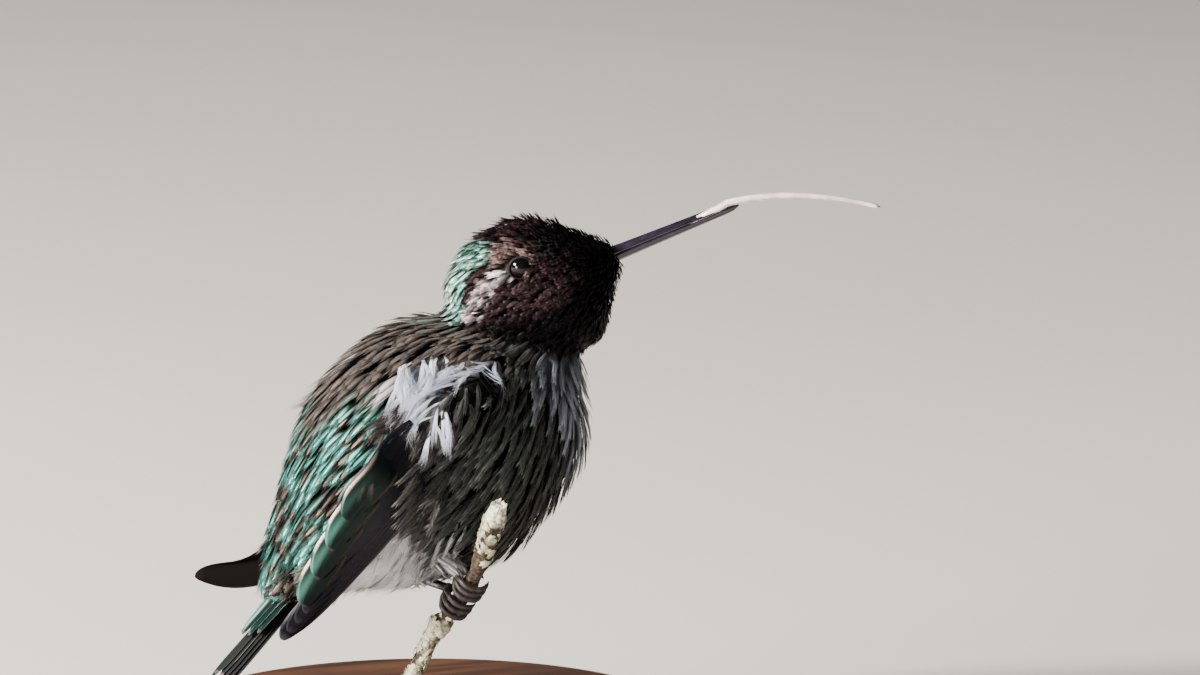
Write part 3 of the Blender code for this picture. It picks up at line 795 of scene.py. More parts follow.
# %% Vanes and barbs
def blade(columns, rows, outline, thickness=1.0, cup=0.0, crowd=1.0):
    """A thin closed vane: outline(x) gives its half width at x; crowd moves columns to the tip."""
    bm = bmesh.new()
    bmesh.ops.create_grid(bm, x_segments=columns, y_segments=rows, size=0.5)
    for v in bm.verts:
        x = 1 - max(0.0, 0.5 - v.co.x) ** crowd
        y = v.co.y * 2
        v.co = (x, y * outline(x), 0.0)
    copy = bmesh.ops.duplicate(bm, geom=bm.faces[:])
    under = [g for g in copy["geom"] if isinstance(g, bmesh.types.BMFace)]
    under_verts = {v for f in under for v in f.verts}
    bmesh.ops.reverse_faces(bm, faces=under)
    for v in bm.verts:
        x, y = v.co.x, v.co.y
        rim = 1 - min(1.0, abs(y) / max(outline(x), 1e-3)) ** 2
        body = thickness * rim * min(1.0, 12 * x * (1.001 - x) + 0.05)
        v.co.z = cup * y * y + (body if v not in under_verts else -0.25 * body)
    bmesh.ops.remove_doubles(bm, verts=bm.verts, dist=1e-4)
    return bm


def add_barb(bm, x, y, reach, angle, width, lift=0.0):
    """One closed splinter from (x, y) on the vane, leaving the shaft's line at an angle in degrees."""
    turn = math.radians(angle)
    made = bmesh.ops.create_cone(bm, cap_ends=True, segments=3, radius1=width, radius2=0.0, depth=1.0)
    tilt = Matrix.Rotation(math.radians(90), 4, "Y")
    bmesh.ops.transform(bm, matrix=tilt, verts=made["verts"])
    bmesh.ops.translate(bm, verts=made["verts"], vec=(0.5, 0, 0))
    for v in made["verts"]:
        far = v.co.x
        v.co = (x + far * reach * math.cos(turn) - v.co.y * math.sin(turn),
                y + far * reach * math.sin(turn) + v.co.y * math.cos(turn) * 2.0,
                v.co.z * 1.2 + lift * far)


def as_arrays(bm):
    """Points and triangles of a prototype."""
    bmesh.ops.triangulate(bm, faces=bm.faces)
    bmesh.ops.recalc_face_normals(bm, faces=bm.faces)
    bm.verts.index_update()
    co = np.array([v.co[:] for v in bm.verts])
    co[:, 0] = np.maximum(co[:, 0], 0) / co[:, 0].max()
    tri = np.array([[v.index for v in f.verts] for f in bm.faces])
    bm.free()
    return co, tri


def vane_outline(point, root):
    """Half width of a rounded vane: narrow at the root, fullest past the middle."""
    def half(x):
        grow = root + (1 - root) * math.sin(min(1.0, x / 0.55) * math.pi / 2)
        close = math.sqrt(max(0.0, 1 - max(0.0, (x - point) / (1.001 - point)) ** 2.4))
        return max(0.02, grow * close)
    return half


example = vane_outline(0.55, 0.45)
print("half width of a vane along it", [round(example(x), 2) for x in (0.0, 0.25, 0.5, 0.75, 1.0)])

# %% [markdown]
# Four kinds are drawn, a few of each so that neighbours differ: body feathers with a closed vane and a
# frayed rim, loose plumes, the short scales of the head, and the tuft's long barbs without a vane.

# %% Four kinds of feather
def contour_feather(seed, barbs=13):
    """A body feather: a narrow blade whose edge and tip part into free barbs."""
    pick = np.random.default_rng(seed)
    outline = vane_outline(0.55, 0.45)
    bm = blade(6, 2, outline, 0.7, -0.1)
    for v in bm.verts:
        v.co.y *= 0.62
        v.co.x *= 0.88
    for side in (-1, 1):
        for k in range(barbs):
            x = 0.22 + 0.66 * k / barbs + pick.uniform(-0.02, 0.02)
            add_barb(bm, x, side * outline(x) * 0.36, 0.34 + pick.uniform(-0.07, 0.07),
                     side * (52 - 40 * k / barbs + pick.uniform(-7, 7)), 0.034, pick.uniform(-0.3, 1.0))
    for k in range(6):
        add_barb(bm, 0.8, -0.3 + 0.12 * k, 0.22 + pick.uniform(-0.05, 0.06), pick.uniform(-10, 10), 0.04,
                 pick.uniform(-0.2, 0.8))
    return as_arrays(bm)


def downy_feather(seed, barbs=25):
    """A loose plume: a narrow blade and long free barbs on both sides."""
    pick = np.random.default_rng(seed)
    bm = blade(4, 2, vane_outline(0.5, 0.5), 0.6)
    for v in bm.verts:
        v.co.y *= 0.19
    for side in (-1, 1):
        for k in range(barbs):
            x = 0.08 + 0.8 * k / barbs + pick.uniform(-0.02, 0.02)
            reach = (0.5 - 0.22 * k / barbs) * pick.uniform(0.7, 1.25)
            add_barb(bm, x, side * 0.05, reach, side * (36 - 26 * k / barbs + pick.uniform(-9, 9)),
                     0.022, pick.uniform(-0.5, 1.8))
    return as_arrays(bm)


def scale_feather(seed, barbs=6):
    """A small feather of the head: a short blade with free barb ends all round its tip."""
    pick = np.random.default_rng(seed)
    bm = blade(3, 2, vane_outline(0.5, 0.6), 0.8, -0.12)
    for v in bm.verts:
        v.co.y *= 0.7
    for side in (-1, 1):
        for k in range(3):
            add_barb(bm, 0.3 + 0.2 * k, side * 0.4, 0.42, side * (34 - 9 * k + pick.uniform(-5, 5)),
                     0.06, pick.uniform(-0.2, 0.8))
    for k in range(barbs):
        add_barb(bm, 0.7, -0.5 + 1.0 * k / (barbs - 1), 0.42 + pick.uniform(-0.1, 0.14),
                 -20 + 40 * k / (barbs - 1) + pick.uniform(-6, 6), 0.06, pick.uniform(-0.2, 0.9))
    return as_arrays(bm)


def tuft_plume(seed, barbs=40):
    """Fine barbs fanning out of one root, each a three-sided splinter bent by the walk under it."""
    pick = np.random.default_rng(seed)
    bm = bmesh.new()
    for k in range(barbs):
        add_barb(bm, pick.uniform(0, 0.12), pick.uniform(-0.06, 0.06), pick.uniform(0.55, 1.0),
                 pick.uniform(-26, 26), 0.02, pick.uniform(-0.3, 2.2))
    for _ in range(2):
        long_edges = [e for e in bm.edges if e.calc_length() > 0.3]
        bmesh.ops.subdivide_edges(bm, edges=long_edges, cuts=1)
    return as_arrays(bm)


CONTOURS = [contour_feather(seed) for seed in (1, 2, 3, 11)]
PLUMES = [downy_feather(seed) for seed in (4, 5, 6, 7)]
SCALES = [scale_feather(seed) for seed in (8, 9, 10)]
TUFTS = [tuft_plume(seed) for seed in (21, 22, 23)]
for label, group in (("contour", CONTOURS), ("plume", PLUMES), ("scale", SCALES), ("tuft", TUFTS)):
    print(label, [len(tri) for _, tri in group], "triangles")


# %% [markdown]
# ## Planting
# A feather is not pinned flat at its root: it follows the body's curve. So each one walks three steps
# down the skin from its root, along the lie of the coat, and is bent over those four places. Its tip
# stands out by its own depth. The feather of the next row up therefore lies on top, as on a bird.

# %% Bend prototypes over the skin
def walk(root, length, yaw, surface, flow):
    """Four places down the coat from a root, with the surface's normal and the feather's run at each."""
    place, normal = surface.nearest(root)
    run = flow(place, normal)
    side = np.cross(normal, run)
    run = run * math.cos(yaw) + side * math.sin(yaw)
    rows = [(place, normal, run)]
    for _ in range(3):
        place, normal = surface.nearest(place + run * length / 3)
        fresh = flow(place, normal)
        run = run * 0.7 + fresh * 0.3
        run = unit(run - normal * np.dot(run, normal))
        rows.append((place, normal, run))
    return rows


def cubic_weights(x):
    """How much each of four even stations counts at x (Lagrange)."""
    stations = (0.0, 1 / 3, 2 / 3, 1.0)
    out = np.ones((len(x), 4))
    for i in range(4):
        for j in range(4):
            if i != j:
                out[:, i] *= (x - stations[j]) / (stations[i] - stations[j])
    return out


def bend_feathers(proto, walks, width, thick, depth, lift, roll, curve):
    """All copies of one prototype, bent over their walks; returns points by feather."""
    co, _ = proto
    weights = cubic_weights(np.clip(co[:, 0], 0, 1.25))
    places = np.array([[r[0] for r in w] for w in walks])
    normals = np.array([[r[1] for r in w] for w in walks])
    runs = np.array([[r[2] for r in w] for w in walks])
    sides = np.cross(normals, runs)
    line = np.einsum("vk,mkc->mvc", weights, places)
    normal = unit(np.einsum("vk,mkc->mvc", weights, normals))
    side = unit(np.einsum("vk,mkc->mvc", weights, sides))
    turned_side = side * np.cos(roll)[:, None, None] + normal * np.sin(roll)[:, None, None]
    turned_normal = normal * np.cos(roll)[:, None, None] - side * np.sin(roll)[:, None, None]
    x = np.clip(co[:, 0], 0, 1.3)[None, :]
    y = co[:, 1][None, :] * (width / 2)[:, None]
    z = co[:, 2][None, :] * thick
    height = 0.08 + depth[:, None] * x ** 0.85 + lift[:, None] * x ** 2
    return (line + turned_side * y[..., None] + turned_normal * (z - curve * y ** 2)[..., None]
            + normal * height[..., None])


PIECE_LIMIT = 180000  # triangles in one piece
PATCH = 0.003  # width of one feather on the bake map


# %% [markdown]
# Colour is worked out for each point of each feather: its own body and edge tones, brightened or
# darkened as a whole, a little differently from its neighbours. Feathers of one kind that share a
# region become one piece, because thousands of objects would be slow to handle.

# %% Colour the feathers and plant them
def feather_tones(x, y, body, edge, tone, edge_share, gloss):
    """Colours over one kind of feather: dark base, thin pale shaft and rim, painted highlight in the
    middle.
    """
    rim = np.clip(smooth(0.78, 1.0, np.abs(y)) + smooth(0.86, 1.0, x), 0, 1)
    shaft = smooth(0.09, 0.0, np.abs(y)) * smooth(0.2, 0.45, x) * 0.4
    pale = np.clip(rim + shaft, 0, 1)[None, :] * edge_share[:, None]
    # Coloured feathers are dark and downy at the root, white ones stay white.
    dark_root = 0.75 * (1 - smooth(0.2, 0.7, body.mean(axis=1)))
    base = 1 - dark_root[:, None] * smooth(0.6, 0.15, x)[None, :]
    # Glossy feathers get a painted highlight down the middle of the vane and painted shade elsewhere.
    painted_highlight = smooth(0.25, 0.5, x) * smooth(1.02, 0.8, x) * smooth(0.7, 0.25, np.abs(y))
    lit = (1 - gloss[:, None]) + gloss[:, None] * (0.08 + 1.1 * painted_highlight[None, :])
    mix = body[:, None, :] * (lit * (1 - pale))[..., None] + edge[:, None, :] * pale[..., None]
    return mix * base[..., None] * tone[:, None, None]


def plant_piece(name, roots, protos, material, slot, length, width, depth, lift=0.15, yaw=0.14, roll=0.2,
                thick=0.06, curve=0.05, tones=None, edge_share=0.8, contrast=0.3, dull=0.0, flow=lie_at,
                surface=BODY):
    """Plant feathers of a few prototypes at roots, as one piece."""
    count = len(roots)
    length = length * rng.uniform(0.84, 1.16, count)
    width = width * rng.uniform(0.86, 1.14, count)
    lifts = rng.uniform(-0.4, 1.0, count) * lift
    rolls = rng.normal(0, roll, count)
    yaws = rng.normal(0, yaw, count)
    deep = depth * rng.uniform(0.75, 1.08, count)
    # The border between two markings is never sharp: feathers of both kinds mix along it.
    body, edge, gloss = markings_at(roots + rng.normal(0, 0.3, roots.shape))
    if tones:
        body, edge = (np.tile(linear(code), (count, 1)) for code in tones)
    tone = rng.uniform(1 - contrast, 1 + contrast, count)
    # A dull feather is painted a darker brown and gets no painted highlight.
    is_dull = rng.random(count) < dull
    body = np.where(is_dull[:, None], TONES["brown"] * 0.8, body)
    gloss = np.where(is_dull, 0.0, gloss)
    rims = edge_share * rng.uniform(0.35, 1.0, count)
    walks = [walk(r, l, a, surface, flow) for r, l, a in zip(roots, length, yaws)]
    centres = sleeve(roots)
    kind = rng.integers(0, len(protos), count)
    points, faces, colours, vane, bake = [], [], [], [], []
    start = 0
    for k, (co, tri) in enumerate(protos):
        chosen = np.flatnonzero(kind == k)
        bent = bend_feathers((co, tri), [walks[i] for i in chosen], width[chosen], thick, deep[chosen],
                             lifts[chosen], rolls[chosen], curve)
        x, y = co[:, 0], co[:, 1]
        offsets = start + np.arange(len(chosen)) * len(co)
        start += len(chosen) * len(co)
        points.append(bent.reshape(-1, 3))
        faces.append((tri[None] + offsets[:, None, None]).reshape(-1, 3))
        colours.append(feather_tones(x, y, body[chosen], edge[chosen], tone[chosen], rims[chosen],
                                     gloss[chosen]).reshape(-1, 3))
        in_mm = np.stack([x * length[chosen][:, None], y * width[chosen][:, None] / 2], 2)
        vane.append(in_mm.reshape(-1, 2))
        patch = np.column_stack([np.clip(x, 0, 1) - 0.5, np.clip(y, -1, 1) / 2]) * PATCH
        bake.append((centres[chosen][:, None, :] + patch[None]).reshape(-1, 2))
    piece = add_piece(name, np.vstack(points), np.vstack(faces), material, (),
                      np.clip(np.vstack(colours), 0, 1), np.vstack(vane),
                      np.clip(np.vstack(bake), 0.001, 0.999))
    print(name, count, "feathers", len(piece.data.polygons), "triangles")


def plant(name, roots, protos, material, slot, length, width, depth, **habit):
    """Plant feathers at roots, in as many pieces as the limit asks for."""
    sizes = [np.broadcast_to(value, len(roots)) for value in (length, width, depth)]
    per_piece = PIECE_LIMIT // max(len(tri) for _, tri in protos)
    parts = math.ceil(len(roots) / per_piece)
    if parts == 1:
        plant_piece(name, roots, protos, material, slot, *sizes, **habit)
        return
    order = np.argsort(roots[:, 0] + roots[:, 2])
    for part, chosen in enumerate(np.array_split(order, parts)):
        plant_piece(f"{name} {part + 1}", roots[chosen], protos, material, slot,
                    *(value[chosen] for value in sizes), **habit)


# %% [markdown]
# The regions are planted one after another, each with its own feather and size. Head feathers are
# small scales that mirror light; the nape and back are iridescent; the sides and belly are loose plumes,
# which is what makes the bird look puffed up. No feather grows on the eye, at the bill's root or on the
# tail's end.

# %% Sort the roots into regions
run, _, angle = trunk_place(ROOTS)
ahead, side, up, above = head_place(ROOTS)
near_bill = np.linalg.norm(ROOTS - BILL_BASE, axis=1)
_, _, painted_highlight = markings_at(ROOTS)
free = (near_bill > 1.15) & (run > 1.5) & ~((np.hypot(ahead * 0.92, up) < 1.28) & (side > 3))
head = above > -0.3
is_nape = head & (painted_highlight > 0.45) & free
is_crown = head & ~is_nape & (up + 0.1 * ahead > 1.6) & free
is_face = head & ~is_nape & ~is_crown & free
back = ~head & (angle < 62) & (run > 1.5)
is_brown = back & (painted_highlight < 0.5)
is_green = back & ~is_brown
is_vent = ~head & ~back & (run < 18.5) & (run > 2.5) & (angle > 88)
# The coat stays clear of the raised tuft, and short flank plumes fill in beside it.
off_tuft = ~inside(run, angle, ((29.4, 20.0), (41.0, 52.0), (24.0, 74.0)))
under_tuft = ~off_tuft & ~inside(run, angle, TUFT_AREA)
is_green, is_brown = is_green & off_tuft, is_brown & off_tuft
is_under = ~head & ~back & ~is_vent & off_tuft & (run > 1.5)
for label, mask in (("nape", is_nape), ("crown", is_crown), ("face", is_face), ("brown back", is_brown),
                    ("green back", is_green), ("vent", is_vent), ("underside", is_under)):
    print(label, int(mask.sum()))

# %% [markdown]
# Back feathers are narrow and lie close; one in three on the green back is dull, as on a real bird.
# The belly's plumes are wide and loose. White down under the tail hangs almost straight.

# %% Plant the trunk
low_back = smooth(17, 6, run[is_green])
plant("green back feathers", ROOTS[is_green], CONTOURS, IRIDESCENT, "back_green", 5.4 + 1.6 * low_back,
      1.8 + 1.5 * low_back, 1.5, contrast=0.6, dull=0.3, edge_share=0.9, yaw=0.08, roll=0.22)
plant("brown back feathers", ROOTS[is_brown], CONTOURS, CONTOUR, "back_green", 5.2, 1.7, 1.5,
      contrast=0.45, edge_share=1.0, yaw=0.08, roll=0.14)
plant("underside plumes", ROOTS[is_under], PLUMES, DOWN, "back_green", 4.8, 3.4, 1.5, lift=0.3)
plant("flank plumes beside the tuft", ROOTS[under_tuft], PLUMES, DOWN, "back_green", 3.4, 2.8, 0.9,
      lift=0.2, tones=("#1d2020", "#6d6c6c"), flow=hang_at)
plant("white plumes under the tail", ROOTS[is_vent], TUFTS, DOWN, "thigh_white", 5.8, 4.4, 1.9, lift=0.9,
      contrast=0.08, flow=hang_at)

# %% [markdown]
# Head feathers grow from 1 mm at the bill to 2 mm at the throat. The crown's stand up a little.

# %% Plant the head
face_length = 1.05 + 1.2 * smooth(2, 15, near_bill[is_face])
plant("face and throat scales", ROOTS[is_face], SCALES, GORGET, "gorget_rose", face_length,
      face_length * 0.6, 0.5, lift=0.3, thick=0.035, contrast=0.4, roll=0.25, yaw=0.2, edge_share=0.6)
crown_length = 1.1 + 1.1 * smooth(3, 14, near_bill[is_crown])
plant("crown feathers", ROOTS[is_crown], SCALES, GORGET, "gorget_rose", crown_length, 0.8, 0.7, lift=1.0,
      thick=0.035, contrast=0.6, roll=0.3, yaw=0.2)
plant("nape feathers", ROOTS[is_nape], CONTOURS, IRIDESCENT, "back_green", 2.2, 1.1, 0.8, lift=0.4,
      thick=0.04, contrast=0.5, roll=0.25, yaw=0.18)


# %% [markdown]
# ## Wings and tail
# A folded wing is ten primaries closed over each other like a fan, with the inner ones on top, and
# shorter secondaries over their base. Each vane is a thin blade laid along the wing solid's own curve,
# with a raised shaft nearer to its leading edge. Soft body feathers cover the wing's front.

# %% Lay flight feathers along a line
def flight_feather(columns=22, rows=8, tip=0.8):
    """A flight feather: narrow leading vane, broad trailing vane, raised shaft between."""
    def half(x):
        grow = 0.55 + 0.45 * math.sin(min(1.0, x / 0.4) * math.pi / 2)
        close = math.sqrt(max(0.0, 1 - max(0.0, (x - tip) / (1.002 - tip)) ** 2.2))
        return max(0.03, grow * close)
    bm = blade(columns, rows, half, 0.55, crowd=1.7)
    for v in bm.verts:
        shaft = 0.75 * math.exp(-(v.co.y / 0.09) ** 2) * (1 - 0.8 * v.co.x)
        v.co.z += shaft if v.co.z > 0 else shaft * 0.2
    return as_arrays(bm)


PRIMARY = flight_feather()
TERTIAL = flight_feather(14, 8, 0.62)
print("flight feathers", len(PRIMARY[1]), "and", len(TERTIAL[1]), "triangles")
STATIONS = 23  # places along a feather where its frame is worked out
LEADING_VANE = 0.55  # its width, against the trailing vane's


# %% [markdown]
# Flight feathers are few and each has its own place, so they are laid one by one. A layer collects them
# and joins them into one piece. A feather may carry a painted highlight along the middle and be pale at
# its rim.

# %% A layer of feathers laid one by one
class Layer:
    """Collects feathers laid one by one until they are joined into one piece."""

    def __init__(self):
        self.points, self.faces, self.colours, self.vane, self.bake = [], [], [], [], []
        self.count = 0

    def lay(self, proto, frame_at, width, thick, lead, body, edge, rim=0.1, edge_side=0, sheen_and_painted_highlight=None):
        """Lay one feather; frame_at(x) gives middle, across and normal, lead the leading vane's side."""
        co, tri = proto
        grid = np.linspace(0, 1, STATIONS)
        frames = np.array([frame_at(x) for x in grid])
        line, across, normal = (
            np.column_stack([np.interp(co[:, 0], grid, frames[:, i, k]) for k in range(3)])
            for i in range(3))
        y = co[:, 1].copy()
        y[y * lead > 0] *= LEADING_VANE
        out = unit(across) * (y * width / 2)[:, None]
        self.points.append(line + out + unit(normal) * (co[:, 2] * thick)[:, None])
        # A frame of the other hand turns the triangles inside out, so they are turned back.
        run = frames[12, 0] - frames[10, 0]
        hand = np.dot(np.cross(run, frames[11, 1]), frames[11, 2])
        start = sum(len(p) for p in self.points[:-1])
        self.faces.append((tri if hand > 0 else tri[:, ::-1]) + start)
        at_edge = smooth(1 - 2.5 * rim, 1 - rim * 0.8, np.abs(co[:, 1]))
        if edge_side:
            at_edge = at_edge * (co[:, 1] * edge_side > 0)
        at_edge = np.clip(at_edge + 0.4 * smooth(0.965, 0.995, co[:, 0]), 0, 1)[:, None]
        tone = body[None] * (0.8 + 0.35 * co[:, :1]) * (1 - at_edge) + edge[None] * at_edge
        # A painted highlight: a pale strip down one half of the vane, fading out towards the root.
        if sheen_and_painted_highlight is not None:
            painted_highlight_strip = smooth(0.34, 0.0, np.abs(co[:, 1] - 0.5)) * smooth(0.4, 0.8, co[:, 0])
            tone = tone + sheen_and_painted_highlight[None] * painted_highlight_strip[:, None]
        self.colours.append(tone)
        span = float(np.linalg.norm(frames[-1, 0] - frames[0, 0]))
        self.vane.append(co[:, :2] * [span, width / 2])
        # On the bake map the feathers lie in rows of eight.
        corner = np.array([0.02 + 0.96 * (self.count % 8) / 8, 0.02 + 0.96 * (self.count // 8) / 8])
        size = np.array([0.11, 0.05])
        self.bake.append(corner + np.column_stack([co[:, 0], co[:, 1] / 2 + 0.5]) * size)
        self.count += 1

    def finish(self, name, material, replaces=()):
        """Join the layer into one piece."""
        piece = add_piece(name, np.vstack(self.points), np.vstack(self.faces), material, replaces,
                          np.clip(np.vstack(self.colours), 0, 1), np.vstack(self.vane),
                          np.vstack(self.bake))
        print(name, self.count, "feathers", len(piece.data.polygons), "triangles")


# %% [markdown]
# Each wing has ten primaries and six secondaries here. Their roots lie close together at the wrist and
# their tips fan out, each a little higher on the pile than the one below.

# %% Wing feathers
def wing_run(wing, t0, t1, v0, v1, height, rooted=0.0):
    """Frame of a feather that runs down the wing while sliding across it from v0 to v1."""
    def frame_at(x):
        t = t0 + (t1 - t0) * x
        place, _, normal, across, half = wing_frame(wing, t)
        d = (v0 + (v1 - v0) * float(smooth(0, 1, x))) * (half - 0.9)
        # The bases dip under the coat; past the wing's upper edge the vane bends in over the back.
        sunk = 2.6 * float(smooth(0.46, 0.3, t)) + 2.2 * max(0.0, abs(d) / WING_HALF - 0.85) ** 2
        sunk = sunk + rooted * float(smooth(0.5, 0.0, x))
        return place + across * d + normal * (height - sunk - d * d / (2 * WING_CURL)), across, normal
    return frame_at


# The right wing is blue-black; the left one is painted brown, with the light that falls on it painted
# into its colour.
WING_TONES = {"right": ("#080917", "#6f6b78"), "left": ("#2a2121", "#5e514e")}
for wing, codes in WING_TONES.items():
    layer = Layer()
    body, rim = (linear(code) for code in codes)
    for k in range(10):
        # The outermost primary is the longest and lies lowest, under all the others.
        share = k / 9
        line = wing_run(wing, 0.27, 1.0 - 0.36 * share ** 1.1, -0.62 + 0.95 * share, -0.55 + 1.1 * share,
                        -0.5 + 0.06 * k)
        # The outermost primary's full pale rim is a painted highlight along the wing's lower edge.
        layer.lay(PRIMARY, line, 4.4, 0.16, -1, body * (1 + 0.1 * (k % 2)),
                  rim * (1.0 if k == 0 else 0.4), 0.05, -1)
    for k in range(6):
        share = k / 5
        line = wing_run(wing, 0.27, 0.72 - 0.12 * share, -0.05 + 0.75 * share, 0.15 + 0.8 * share,
                        0.05 + 0.06 * k)
        layer.lay(PRIMARY, line, 4.2, 0.16, -1, body * 1.15, rim * 0.4, 0.05, -1)
    layer.finish("wing feathers " + wing, FLIGHT, ("wing_" + wing,))

# %% [markdown]
# The tail is ten feathers closed into a narrow fan with a shallow notch: the middle pair lies on top and
# is washed green, the outer ones are black. Long glossy coverts, each with a painted highlight, lie over
# its root.

# %% Tail and its coverts
TAIL_ROOT, TAIL_TIP = np.array([-14.4, 0.0, 24.2]), np.array([-27.4, 0.0, 11.4])
LEFTWARD = np.array([0.0, 1.0, 0.0])
tail_along = unit(TAIL_TIP - TAIL_ROOT)
tail_back = np.array([tail_along[2], 0.0, -tail_along[0]])
tail_length = np.linalg.norm(TAIL_TIP - TAIL_ROOT)


def tail_run(v, height, reach=1.0, start=0.0):
    """Frame of a tail feather at v across the fan, -1 to 1."""
    def frame_at(x):
        t = start + (1 - start) * x * reach
        half = 2.6 + 0.7 * max(t, 0.0) ** 0.8
        notch = (1.6 * (1 - abs(v)) ** 1.5 + 1.2 * abs(v) ** 6) * x
        d = v * half * 0.8
        place = TAIL_ROOT + tail_along * (tail_length * t - notch) + LEFTWARD * d
        return place + tail_back * (height - d * d / 26.0), LEFTWARD, tail_back
    return frame_at


layer = Layer()
for k in (0, 9, 1, 8, 2, 7, 3, 6, 4, 5):
    v = -1 + 2 * k / 9
    lead = 1 if v > 0 else -1
    middle = 1 - abs(v)
    dark = linear("#0d0c0f") * (1 - middle) + linear("#121817") * middle
    rim = linear("#8a7f80") if k in (0, 3, 6, 9) else dark * 1.8
    layer.lay(PRIMARY, tail_run(v, -0.35 + 0.8 * middle), 2.3, 0.08, lead, dark, rim, 0.04, lead)
layer.finish("tail feathers", FLIGHT, ("tail",))
layer = Layer()
# Each covert carries a pale painted highlight on its dark vane.
for k, v in enumerate((-0.8, 0.8, -0.4, 0.4, 0.0)):
    line = tail_run(v, 0.8 + 0.09 * k, 0.8 - 0.12 * abs(v), -0.3)
    layer.lay(TERTIAL, line, 3.2, 0.12, 1 if v > 0 else -1, linear("#16302e"), linear("#a89da0"), 0.03,
              sheen_and_painted_highlight=linear("#bff5ea"))
layer.finish("long tail coverts", IRIDESCENT, ())


# %% [markdown]
# Where the wing and the tail leave the body a real coat closes over the join. Here coverts lie over the
# root of the tail, and soft plumes behind the wing, over its wrist and over its upper edge. They stand
# in rows at chosen places, so that each row covers the roots of the one behind it.

# %% Rows of feathers over the joins
def trunk_spot(run_mm, angle_deg, side_sign, onto=BODY):
    """The place on the skin at a distance along the trunk and an angle round it."""
    phi = math.radians(angle_deg)
    start = TAIL_END + ALONG * run_mm - BACKWARD_UP * 2.6 * float(smooth(28, 40, run_mm))
    away = BACKWARD_UP * math.cos(phi) + np.array([0, side_sign, 0]) * math.sin(phi)
    hit = onto.tree.ray_cast(Vector(start + away * 45), Vector(-away))[0]
    return np.array(hit) if hit is not None else start + away * 3


def row(run0, angle0, run1, angle1, count, sides=(-1, 1), onto=BODY):
    """Places in a straight row on the opened-out skin; sides are -1 for the right and 1 for the left."""
    spots = []
    for side_sign in sides:
        for k in range(count):
            run_mm = run0 + (run1 - run0) * k / (count - 1)
            angle_deg = angle0 + (angle1 - angle0) * k / (count - 1)
            spots.append(trunk_spot(run_mm, angle_deg, side_sign, onto))
    return np.array(spots)


def rows(*ends, sides=(-1, 1), onto=BODY):
    """Several rows, each given by the place of its two ends and its count."""
    return np.vstack([row(*each, sides, onto) for each in ends])


plant("upper tail coverts", rows((1.5, 4, 1.0, 44, 5), (4.5, 2, 4.0, 50, 6)), CONTOURS, IRIDESCENT,
      "back_green", 4.5, 2.8, 1.2, tones=("#429f9a", "#8f7a6e"))
behind_wing = rows((21, 69, 9, 69, 10), (21, 77, 9, 77, 10), (21, 86, 9, 86, 10), onto=SKIN)
plant("plumes behind the wing", behind_wing, PLUMES, DOWN, "back_green", 6.0, 4.0, 2.6, lift=1.2,
      yaw=0.2, tones=("#3a3634", "#9b8f86"), surface=SKIN)
over_wrist = rows((26, 58, 22.5, 104, 16), (24, 57, 20, 100, 16), (21.5, 62, 18, 92, 12))
plant("dark plumes over the wrist", over_wrist, PLUMES, DOWN, "back_green", 5.2, 3.6, 1.6, lift=0.6,
      yaw=0.3, contrast=0.5, tones=("#1b1b1d", "#86817f"), edge_share=1.0)
over_wing = rows((26.5, 36, 20.5, 54, 12), (24, 40, 17, 56, 11))
plant("shoulder feathers over the wing", over_wing, TUFTS, DOWN, "back_green", 4.4, 3.0, 1.9, lift=0.3,
      yaw=0.25, tones=("#2c2827", "#8f7d73"), edge_share=1.0, contrast=0.6, flow=hang_at)
soft_edge = rows((27.2, 41, 25.6, 55, 12), (25.2, 40, 23.6, 56, 13))
plant("soft feathers over the wrist", soft_edge, TUFTS, DOWN, "back_green", 5.0, 3.2, 3.4, lift=1.0,
      yaw=0.3, tones=("#24211f", "#8a7b72"), edge_share=1.0, contrast=0.5)

# %% [markdown]
# The legs leave the belly in a ring of pale plumes, so they look as if they came out of the coat. The
# rings are drawn round each leg solid's box, at three heights.

# %% Plumes over the thighs
thigh_roots = []
for leg in ("leg_right", "leg_left"):
    low, high = [np.array(v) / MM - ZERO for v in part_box(leg)]
    for height, reach, count in ((2.2, 3.6, 16), (0.8, 2.8, 14), (-0.6, 2.0, 10)):
        for k in range(count):
            turn = math.tau * k / count
            around = np.array([(low[0] + high[0]) / 2 + reach * math.cos(turn),
                               (low[1] + high[1]) / 2 + reach * math.sin(turn), high[2] + height])
            thigh_roots.append(BODY.nearest(around)[0])
plant("plumes over the thighs", np.array(thigh_roots), PLUMES, DOWN, "thigh_white", 4.6, 3.2, 1.5,
      lift=0.8, yaw=0.3, tones=("#b9bcc4", "#eef0f5"), contrast=0.2, flow=hang_at)

# %% [markdown]
# Tertials are the innermost wing feathers: broad, green and stepped over the folded wing. Each lies over
# the next longer one, so their tips step down towards the tail. Each carries a painted highlight, and
# the uppermost the faintest.

# %% Tertials
layer = Layer()
for k, tip in enumerate((0.87, 0.78, 0.69, 0.6)):
    line = wing_run("right", tip - 0.28, tip, 0.38 + 0.08 * k, 0.62 + 0.08 * k, 0.55 + 0.17 * k, 1.6)
    # A pale painted highlight on each vane, much weaker on the uppermost.
    layer.lay(TERTIAL, line, 5.2, 0.2, -1, linear("#0f1e1d"), linear("#857970"), 0.04,
              sheen_and_painted_highlight=linear("#8fe6d8") * (0.12 if k == 3 else 0.5))
layer.finish("tertials right", IRIDESCENT, ())


# %% [markdown]
# The white tuft on the shoulder is a bundle of long loose plumes that the bird has raised: they stand in
# rows across a triangle and gather towards its lowest corner, over the dark flank. Each plume here is a
# few dozen fine barbs that fan out from one root. On the left the tuft is closed, and lies flat.

